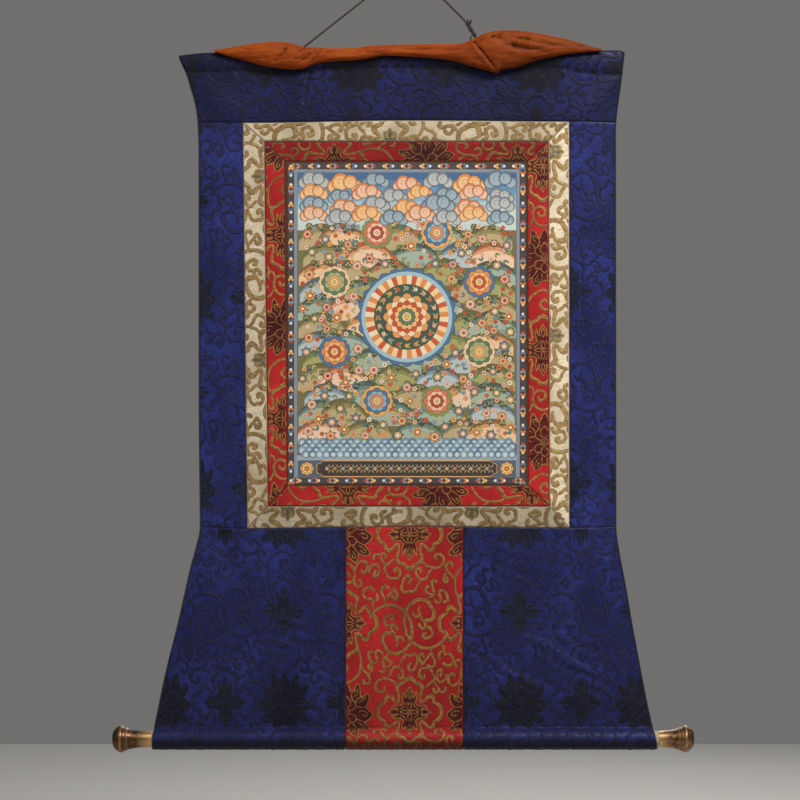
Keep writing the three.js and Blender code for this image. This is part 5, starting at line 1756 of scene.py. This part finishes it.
def cut_skin(points, borders):
    """Triangles between these borders, and the number of the shape on top of each."""
    pairs = [tuple(map(int, pair)) for pair in borders]
    made = geometry.delaunay_2d_cdt([Vector(point) for point in points], pairs, [], 0, 1e-4, False)
    spots = np.array([tuple(point) for point in made[0]])
    skin = np.array([tuple(face) for face in made[2]])
    middles = spots[skin].mean(axis=1)
    order = np.argsort(middles[:, 0])
    skin, middles = skin[order], middles[order]
    top_shape = np.zeros(len(skin), int)
    for number, shape in enumerate(paint["shapes"]):
        low, high = np.searchsorted(middles[:, 0], (shape[:, 0].min(), shape[:, 0].max()))
        near = middles[low:high, 1]
        rows = low + np.flatnonzero((near > shape[:, 1].min()) & (near < shape[:, 1].max()))
        top_shape[rows[within(shape, middles[rows, 0], middles[rows, 1])]] = number
    return spots, skin, top_shape


def colour_borders(skin, colours):
    """Edges between triangles of two colours."""
    edges = np.sort(skin[:, [[0, 1], [1, 2], [2, 0]]].reshape(-1, 2), axis=1)
    edges, number = np.unique(edges, axis=0, return_inverse=True)
    beside = np.repeat(colours, 3)
    lowest, highest = np.full(len(edges), 10**9), np.full(len(edges), -1)
    np.minimum.at(lowest, number.ravel(), beside)
    np.maximum.at(highest, number.ravel(), beside)
    return edges[lowest != highest]


flat_points = np.vstack(paint["shapes"])
starts = np.cumsum([0] + [len(shape) for shape in paint["shapes"]])
rings = [np.arange(start, stop) for start, stop in zip(starts, starts[1:])]
borders = np.vstack([np.stack([ring, np.roll(ring, -1)], axis=1) for ring in rings])
spots, skin, top_shape = cut_skin(flat_points, borders)
palette, tint_number = np.unique(paint["colours"], return_inverse=True)
seen = colour_borders(skin, tint_number[top_shape])
used, seen = np.unique(seen, return_inverse=True)
field_cut = (
    upright(FIELD["tl"], FIELD["bl"], HALF_GAP), upright(FIELD["tr"], FIELD["br"], -HALF_GAP),
    level(FIELD["tl"], FIELD["tr"], -HALF_GAP), level(FIELD["bl"], FIELD["br"], HALF_GAP),
)
grid_s = lines_across(FIELD_RIGHT - FIELD_LEFT, SKIN_STEP)
grid_t = lines_across(FIELD_TOP - FIELD_FOOT, SKIN_STEP)
edge_count = len(EDGE_LINES)
edge_s = np.concatenate([grid_s[:edge_count], grid_s[-edge_count:]])
edge_t = np.concatenate([grid_t[:edge_count], grid_t[-edge_count:]])
fine_s = lines_across(FIELD_RIGHT - FIELD_LEFT, EDGE_STEP)
fine_t = lines_across(FIELD_TOP - FIELD_FOOT, EDGE_STEP)
extra = []
for across, down in ((grid_s, grid_t), (edge_s, fine_t), (fine_s[EDGE_SPARE:-EDGE_SPARE], edge_t)):
    rows = np.stack(places(field_cut, across[:, None], down[None, :]), axis=-1)
    extra.append(rows.reshape(-1, 2))
extra = np.vstack(extra)
outer_edge = paint["shapes"][0]
spots, skin, top_shape = cut_skin(np.vstack([spots[used], extra, outer_edge]), seen.reshape(-1, 2))
print("colours:", len(palette), "triangles in the skin:", len(skin))

# %% [markdown]
# The skin is hung just off the primed canvas, and its colours go with it as an attribute. Triangles
# that were drawn in to nothing at the canvas's edge are left out.

# %% Hanging the paint
CANVAS, CANVAS_STEP = 1.5, 4
PAINT_LIFT = 0.12
LEAST_AREA = 1e-3

s, t = shares_at(field_cut, spots[:, 0], spots[:, 1])
x, z = places(field_cut, np.clip(s, 0, 1), np.clip(t, 0, 1))
corner_x, corner_z = x[skin], z[skin]
across = (corner_x[:, 1] - corner_x[:, 0]) * (corner_z[:, 2] - corner_z[:, 0])
area = across - (corner_x[:, 2] - corner_x[:, 0]) * (corner_z[:, 1] - corner_z[:, 0])
shown = np.abs(area) > LEAST_AREA
skin, top_shape = skin[shown], top_shape[shown]
hung_paint = hung(x, z, face_lift(field_cut, x, z, CANVAS / 2) + PAINT_LIFT)
skin_mesh = make_mesh("paint_skin", hung_paint, skin.tolist())
tints = np.array([linear(colour) for colour in paint["colours"]])
pigment = skin_mesh.attributes.new("pigment", "FLOAT_COLOR", "CORNER")
pigment.data.foreach_set("color", np.repeat(tints[top_shape], 3, axis=0).ravel())

# %% [markdown]
# Distemper is pigment in glue: quite matt, a little uneven, and worn thin on the tooth of the
# canvas. The real threads are 0.5 mm apart and would not show, so the tooth is drawn at 1.4 mm.

# %% Paint and canvas
TOOTH_MM, WORN_THIN = 1.4, 0.22

distemper, tree, shader = new_material("distemper paint on primed cotton, matt")
pigments = add_node(tree, "ShaderNodeAttribute", {"attribute_name": "pigment"}).outputs["Color"]
tooth = mottled(tree, TOOTH_MM, detail=5)
thin = add_node(tree, "ShaderNodeMapRange", inputs={"Value": tooth, "To Max": WORN_THIN}).outputs[0]
worn_paint = mixed(tree, thin, pigments, linear("b59a78"))
values = {"Roughness": 0.85, "Specular IOR Level": CLOTH_SPECULAR}
join_finish(tree, shader, worn_paint, values, tooth, 0.1)

paint_skin = make_object("paint_skin", skin_mesh, [distemper])
primed = satin("glue and chalk priming on cotton", "a48a70", "b9a183", 0.85, 0.0)
field_mesh = cloth_mesh("painted_field", field_cut, CANVAS_STEP, CANVAS / 2)
field = make_object("painted_field", field_mesh, [primed, lining])
dress(field, "painted_canvas", ["painting"])
dress(paint_skin, "painted_canvas")
print("painted field:", triangles_of(field), "paint:", triangles_of(paint_skin))


# %% [markdown]
# The silk veil that covers a scroll is gathered up here and lies over the top hem. It is one light
# cloth: its lower edge hangs before the hem, its crest stands above it, and the rest is tucked down
# behind. Its outline is measured at thirty places. It could be dropped as a simulated cloth, but a
# gathered veil keeps the folds that hands gave it, so here they are laid one by one.

# %% Outline of the veil
VEIL = table("x top bottom swell", [
    (-243, -101.6, -104.4, 1.2), (-233, -100.6, -108.2, 3), (-207, -96.4, -115.4, 6.5),
    (-183, -93, -122.4, 10), (-161, -92, -125.6, 11.5), (-146, -94, -126.8, 11),
    (-133, -97.8, -126.4, 9), (-122, -99.4, -121.8, 6.5), (-112, -99, -119.2, 7),
    (-92, -100.2, -117, 7.5), (-65, -99, -115.3, 7), (-46, -96.8, -112.6, 6.5), (-30, -96, -109.8, 6),
    (0, -95.4, -110.9, 6.5), (36, -94.7, -113.4, 8), (58, -94.8, -116.6, 9), (71, -92.4, -120.8, 10),
    (84, -86.6, -124.6, 11.5), (96, -81.2, -127.8, 13), (104, -79.2, -130, 13.4),
    (110, -78.4, -131.4, 13.6), (117, -77.8, -127, 13.6), (130, -77.7, -125.2, 13.6),
    (144, -78.6, -121, 13), (159, -80.9, -116, 12), (178, -84.4, -111.6, 10),
    (198, -88.8, -107.8, 7.5), (220, -95.4, -105.6, 4), (233, -99.2, -104.4, 2.2),
    (241, -100.6, -103.4, 1.2),
])
VEIL_HALF, TIP_HALF = 1.1, 0.5
VEIL_FRONT, VEIL_CREST, VEIL_TUCK = 1.2, 3, 5.9

# %% [markdown]
# Each fold runs along a short line. A soft fold is a round ridge or hollow. A crease adds a sharp
# valley, and where one layer lies over the next, the height steps from one side of it to the other.
# The step is to the left of the line as it is drawn, or to the right where it is negative.

# %% Folds laid one by one
VEIL_FOLDS = table("x1 z1 x2 z2 rise width step", [
    (-155, -103, -167, -117, -2.4, 2.4, 0.8), (-158, -102, -180, -112, -1.2, 3.4, 0),
    (-192, -99, -160, -96, 0.8, 4, 0), (-214, -104, -180, -108, 0.7, 5, 0),
    (-146, -104, -152, -121, 1.5, 6, 0), (-133, -101, -142, -114, -1.4, 2.2, 0.4),
    (-118, -103, -133, -116, -2.6, 2.4, 0.9), (-126, -100, -138, -104, -1.0, 2, 0),
    (-110, -103, -120, -118, -2.2, 1.8, -0.8), (-105, -101, -112, -108, 1.3, 2.4, 0),
    (-100, -107, -40, -107, -0.9, 2.2, 0.5), (-96, -112, -40, -108.5, 1.2, 3, 0),
    (-57, -100, -52, -108, -1.0, 1.8, 0), (-30, -102, 50, -104, -0.8, 2, 0.4),
    (-20, -106.5, 60, -110, 1.2, 2.8, 0), (18, -98, 24, -108, -0.6, 2, 0),
    (60, -101, 84, -121, 0.9, 5, 0), (70, -108, 92, -118, -0.7, 2.6, 0),
    (81, -93.5, 107, -128.5, -2.8, 1.5, 1.9), (83, -92.5, 104, -86, -1.6, 1.7, -1.1),
    (104, -86.5, 112, -87.6, -2.2, 2, 0), (106, -87, 131, -100.5, -1.8, 2.6, 0.3),
    (131, -100.5, 168, -107, -2.0, 2.6, 0.4), (113, -88, 148, -91.5, -1.2, 2, 0),
    (148, -91.5, 182, -97.5, -1.4, 2, 0.2), (138, -96, 176, -101.5, 1.2, 2.4, 0),
    (120, -92, 150, -96.5, 1.1, 2.2, 0), (118, -84, 178, -90.5, 1.0, 3, 0),
    (110, -112, 128, -118, 1.6, 6, 0), (140, -113, 190, -105, 1.0, 4, 0),
    (213, -99.5, 224, -104, -1.6, 1.6, 0.4), (196, -93, 214, -98, -0.9, 1.8, 0),
])
WRINKLES = table("spacing slope rise", [(11, 0.6, 0.35), (6.3, -0.9, 0.24), (23, 1.5, 0.35)])
CREASE_SHARE, ROUND_SHARE, RIDGE_SHARE, RIDGE_AWAY = 0.35, 0.5, 0.3, 2.6
STEP_WIDTH, STEP_REACH, FOLD_END, BEND = 0.7, 7, 4, 0.9


def veil_relief(x, z):
    """Height of the veil's folds and small wrinkles at places on its front."""
    height = np.zeros(np.broadcast(x, z).shape)
    for x1, z1, x2, z2, rise, width, step in zip(*VEIL_FOLDS.values()):
        along_x, along_z = x2 - x1, z2 - z1
        length = math.hypot(along_x, along_z)
        share = ((x - x1) * along_x + (z - z1) * along_z) / length**2
        bent = BEND * np.sin(3 * share + x1) * np.clip(share, 0, 1)
        side = ((x - x1) * along_z - (z - z1) * along_x) / length + bent
        past = np.maximum(np.abs(share - 0.5) - 0.5, 0) * length
        away = np.hypot(side, past)
        fade = bump_at(past, FOLD_END)
        sharp, soft = np.exp(-np.abs(away) / width), bump_at(away, 1.5 * width)
        height += rise * (CREASE_SHARE * sharp + ROUND_SHARE * soft)
        height -= RIDGE_SHARE * rise * bump_at(away - RIDGE_AWAY * width, width) * fade
        height += step * np.tanh(side / STEP_WIDTH) * bump_at(side, STEP_REACH) * fade
    for spacing, slope, rise in zip(*WRINKLES.values()):
        sway = 0.5 * np.sin(x / (1.7 * spacing)) + 0.4 * np.sin(z / spacing + slope)
        height += rise * np.sin(2 * math.pi * (z + slope * 0.1 * x) / spacing + 2.2 * sway)
    return height


# %% [markdown]
# The shell is drawn as sections across the hem, side by side. A section rises from the foot, swells
# forward by a half wave, goes over the crest and turns down behind. Both faces stand off its middle
# line, and the foot is rounded over.

# %% Gathered veil
SECTION_STEP = 1.6
FRONT_STEPS, BACK_STEPS = 34, 5
TIP_LENGTH, TUCK_SINK, FULL_FRONT, LIMP_TO_FULL = 16, 0.5, 0.8, (1.5, 8)
# painted shade that darkens the veil towards its right end
VEIL_RIGHT_SHADE, VEIL_RIGHT_SHADE_FROM_TO = 0.3, (40, 120)

veil_top = curve_through(VEIL, "x", "top")
veil_bottom = curve_through(VEIL, "x", "bottom")
veil_swell = curve_through(VEIL, "x", "swell")
tips = VEIL["x"][0], VEIL["x"][-1]
x = np.linspace(*tips, round((tips[1] - tips[0]) / SECTION_STEP))[:, None]
half = blend(TIP_HALF, VEIL_HALF, ease(np.minimum(x - tips[0], tips[1] - x), 0, TIP_LENGTH))
crest, foot = veil_top(x) - half, veil_bottom(x) + half
angle = np.linspace(0, math.pi, FRONT_STEPS)[None, :]
rise = (1 - np.cos(angle)) / 2
z = blend(foot, crest, rise)
fullness = ease(veil_swell(x), *LIMP_TO_FULL)
forward = np.sin(angle) ** FULL_FRONT * (veil_swell(x) + veil_relief(x, z) * fullness)
y = blend(VEIL_FRONT, VEIL_CREST, rise) - forward
angle = np.linspace(0, math.pi / 2, BACK_STEPS + 1)[None, 1:]
tuck_y = blend(VEIL_CREST, VEIL_TUCK, np.sin(angle)) + 0 * x
tuck_z = blend(heading_top(x) - TUCK_SINK, crest, np.cos(angle))
middle = np.stack([np.hstack([y, tuck_y]), np.hstack([z, tuck_z])], axis=-1)
ahead = np.gradient(middle, axis=1)
ahead /= np.linalg.norm(ahead, axis=-1, keepdims=True)
outward = np.stack([-ahead[..., 1], ahead[..., 0]], axis=-1) * half[..., None]
rim = middle[:, :1] - ahead[:, :1] * half[..., None] * 0.8
loops = np.concatenate([middle + outward, (middle - outward)[:, ::-1], rim], axis=1)
count = loops.shape[1]
points = np.concatenate([np.broadcast_to(x[..., None], loops.shape[:2] + (1,)), loops], axis=-1)
faces = []
for i in range(len(points) - 1):
    for k in range(count):
        a, b = i * count + k, i * count + (k + 1) % count
        faces.append((a, a + count, b + count, b))
steps = middle.shape[1]
for end in (0, (len(points) - 1) * count):
    for k in range(steps - 1):
        quad = [end + k, end + k + 1, end + 2 * steps - 2 - k, end + 2 * steps - 1 - k]
        faces.append(quad if end == 0 else quad[::-1])
    last = [end + count - 1, end, end + 2 * steps - 1]
    faces.append(last if end == 0 else last[::-1])

veil_mesh = make_mesh("gathered_veil", points.reshape(-1, 3), faces)
# painted shade, growing towards the veil's right end
mark_points(veil_mesh, "shade_and_soil", VEIL_RIGHT_SHADE * ease(points[..., 0], *VEIL_RIGHT_SHADE_FROM_TO))
face_outward(veil_mesh)

# %% [markdown]
# The veil is thin dyed silk: smooth, with a soft sheen and fine streaks where the cloth is pulled
# along. The colour is rust. Painted shade makes it redder and darker down in the folds, where the layers
# lie close, and darkens its right half, which was folded outermost and faces up towards the key lamp.

# %% Veil silk
STREAK_MM, VEIL_PATCH_MM = 1.8, 26

veil_silk, tree, shader = new_material("thin plain-woven silk, rust dyed, soft sheen")
streaks = mottled(tree, STREAK_MM, (0.12, 1, 1), detail=4)
patches = mottled(tree, VEIL_PATCH_MM, (0.5, 1, 1))
hollow = add_node(tree, "ShaderNodeNewGeometry").outputs["Pointiness"]
lit = between(tree, patches, linear("87390f"), linear("9c4814"), 0.35, 0.65)
streaked = between(tree, streaks, linear("6f2c0d"), lit, 0.25, 0.5)
# painted shade down in the folds, where the surface is hollow
fold_shaded = between(tree, hollow, linear("3d1708"), streaked, 0.44, 0.5)
values = {"Roughness": 0.55, "Specular IOR Level": 0.08}
join_finish(tree, shader, shaded_and_soiled(tree, fold_shaded), values, streaks, 0.5)

veil = make_object("gathered_veil", veil_mesh, [veil_silk])
dress(veil, "veil_silk", ["silk_veil"])
print("veil:", triangles_of(veil))


# %% [markdown]
# The piping is a thin cord sewn along both side edges. It starts under the top corner, follows the
# edge down and goes round the rod's sleeve with the cloth. The same tree lays it, at a finer size.

# %% Edge piping
PIPING_FIBRE_MM = 0.8
PIPING_TOP, PIPING_STEP, PIPING_BEND_STEP = -106, 6, 2.5

piping_fibre, tree, shader = new_material("corded cotton piping, dark, matt")
fibres = mottled(tree, PIPING_FIBRE_MM, (1, 1, 0.5), detail=4)
corded = between(tree, fibres, linear("191d18"), linear("3c4338"))
join_finish(tree, shader, corded, {"Roughness": 0.8, "Sheen Weight": 0.2})

piping_ends = {"left": (left_edge, 1), "right": (right_edge, -1)}
for side, (edge, inward) in piping_ends.items():
    top = heading_top(edge(PIPING_TOP)) - 1
    straight_down = np.arange(top, LINE_START, -PIPING_STEP)
    z = np.append(straight_down, np.arange(LINE_START, CLOTH_END, -PIPING_BEND_STEP))
    x = on_line(inside_edge(edge, inward * PIPING_RADIUS))(z)
    piping = laid_cord("piping_" + side, [hung(x, z, 0)], "piping", piping_fibre)
    dress(piping, "piping", ["edge_piping_" + side])
    print("piping", side, triangles_of(piping))

# %% [markdown]
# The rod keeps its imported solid. Only a sliver of it shows between the sleeve and a knob: pale,
# unpolished softwood with grain along its length.

# %% Rod wood
GRAIN_MM = 1.4

rod_wood, tree, shader = new_material("softwood rod, turned, unpolished")
grain = mottled(tree, GRAIN_MM, (0.04, 1, 1), detail=5)
pale = between(tree, grain, linear("9b8369"), linear("c4ae93"))
join_finish(tree, shader, pale, {"Roughness": 0.7}, grain, 0.15)
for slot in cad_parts["bottom_rod"].material_slots:
    slot.material = rod_wood

# %% [markdown]
# The knobs are spun brass caps with a domed end, a flared rim, a fine groove and a long taper to the
# rod. The profile is turned round the rod's axis. Brass that hangs for years goes brown and dull, most
# of all in the groove. The dome is painted darker as shade, the left knob's brass is darker than the
# right's, and the sharp edges are lighter: partly rubbed bright by hands, partly a painted highlight.

# %% Brass knobs
KNOB = table("from_tip radius", [
    (0, 0), (0.1, 3), (0.4, 5.6), (0.9, 7.9), (1.6, 9.7), (2.6, 11.3), (3.8, 12.7), (4.8, 13.6),
    (5.1, 14.1), (5.7, 14.4), (7, 15.1), (8.4, 16), (9.8, 16.8), (10.8, 17), (11.8, 16.8), (13, 16.1),
    (14.5, 15.4), (16, 15), (16.9, 14.8), (17.2, 14.2), (17.7, 14.1), (18.1, 14.4), (20, 13.4),
    (22, 12.8), (25, 12.1), (29, 11.3), (34, 10.7),
])
KNOB_NECK, TENON_HOLE, TENON_DEPTH = 9.8, 7.3, 5
KNOB_SIDES = 72
# painted shade on the domed tip; below it, the tarnish in the groove
DOME_SHADE, DOME_EDGE = 0.55, (3.6, 5.2)
GROOVE_SOIL, GROOVE_AT, GROOVE_WIDTH = 0.7, 17.5, 0.5
# place of the neck, way out, length
KNOBS = {"left": (-319.6, -1, 51.3), "right": (312.9, 1, 44.2)}
SPOT_MM, SPIN_MM = 5, 1.2
# darker and lighter brass of each knob; the left knob is darker than the right
BRASS_BY_SIDE = {"left": ("3e2b1d", "694b31"), "right": ("4a3425", "92704c")}


def knob_mesh(name, place, way, length):
    """Turned knob on the rod's axis, from its open neck to its closed tip."""
    along = np.append(length - KNOB["from_tip"], [0, 0])
    radius = np.append(KNOB["radius"], [KNOB_NECK, TENON_HOLE])
    turn = np.linspace(0, 2 * math.pi, KNOB_SIDES, endpoint=False)
    points, faces = [], []
    for distance, reach in zip(along[1:], radius[1:]):
        for angle in turn:
            y, z = ROD_Y + reach * math.cos(angle), ROD_Z + reach * math.sin(angle)
            points.append((place + way * distance, y, z))
    points += [(place + way * distance, ROD_Y, ROD_Z) for distance in (length, TENON_DEPTH)]
    rings = len(along) - 1
    for k in range(KNOB_SIDES):
        after = (k + 1) % KNOB_SIDES
        faces.append((len(points) - 2, k, after))
        last = (rings - 1) * KNOB_SIDES
        faces.append((len(points) - 1, last + after, last + k))
        for ring in range(rings - 1):
            a, b = ring * KNOB_SIDES, (ring + 1) * KNOB_SIDES
            faces.append((a + k, b + k, b + after, a + after))
    mesh = make_mesh(name, points, faces)
    face_outward(mesh)
    from_tip = length - way * (np.array([vertex.co.x for vertex in mesh.vertices]) / MM - place)
    tarnish = GROOVE_SOIL * bump_at(from_tip - GROOVE_AT, GROOVE_WIDTH)
    # painted shade on the dome, and tarnish in the groove
    mark_points(mesh, "shade_and_soil", DOME_SHADE * (1 - ease(from_tip, *DOME_EDGE)) + tarnish)
    return mesh


for side, (place, way, length) in KNOBS.items():
    brass, tree, shader = new_material("spun brass, aged, " + side)
    dull, bright = BRASS_BY_SIDE[side]
    spots = mottled(tree, SPOT_MM, detail=6)
    rings = mottled(tree, SPIN_MM, (1, 0.06, 0.06), detail=2)
    edges = add_node(tree, "ShaderNodeNewGeometry").outputs["Pointiness"]
    aged = between(tree, spots, linear(dull), linear(bright), 0.35, 0.65)
    # lighter on sharp edges: partly rubbed bright, partly a painted highlight
    rubbed_and_highlit = between(tree, edges, aged, linear("c49c6e"), 0.51, 0.57)
    dented = calculated(tree, "MULTIPLY_ADD", spots, 3, rings)
    join_finish(tree, shader, shaded_and_soiled(tree, rubbed_and_highlit), {"Metallic": 0.9}, dented, 0.14)
    rough = {"Value": spots, "To Min": 0.5, "To Max": 0.3}
    rough = add_node(tree, "ShaderNodeMapRange", inputs=rough).outputs[0]
    tree.links.new(rough, shader.inputs["Roughness"])
    mesh = knob_mesh("turned_knob_" + side, place, way, length)
    turned_knob = make_object("turned_knob_" + side, mesh, [brass])
    dress(turned_knob, "knob_brass", ["knob_" + side])
    print("knob", side, triangles_of(turned_knob))


# %% [markdown]
# Two boxes tell whether the dressed scroll has kept its size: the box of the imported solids, read at
# the start, and the box of what shows now.

# %% Size and finish
dressed_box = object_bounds()
boxes = {"cad": cad_box, "visual": dressed_box}
boxes = {key: [[float(v) for v in corner] for corner in box] for key, box in boxes.items()}
print("dressed size in mm:", [round((high - low) / MM, 1) for low, high in zip(*dressed_box)])
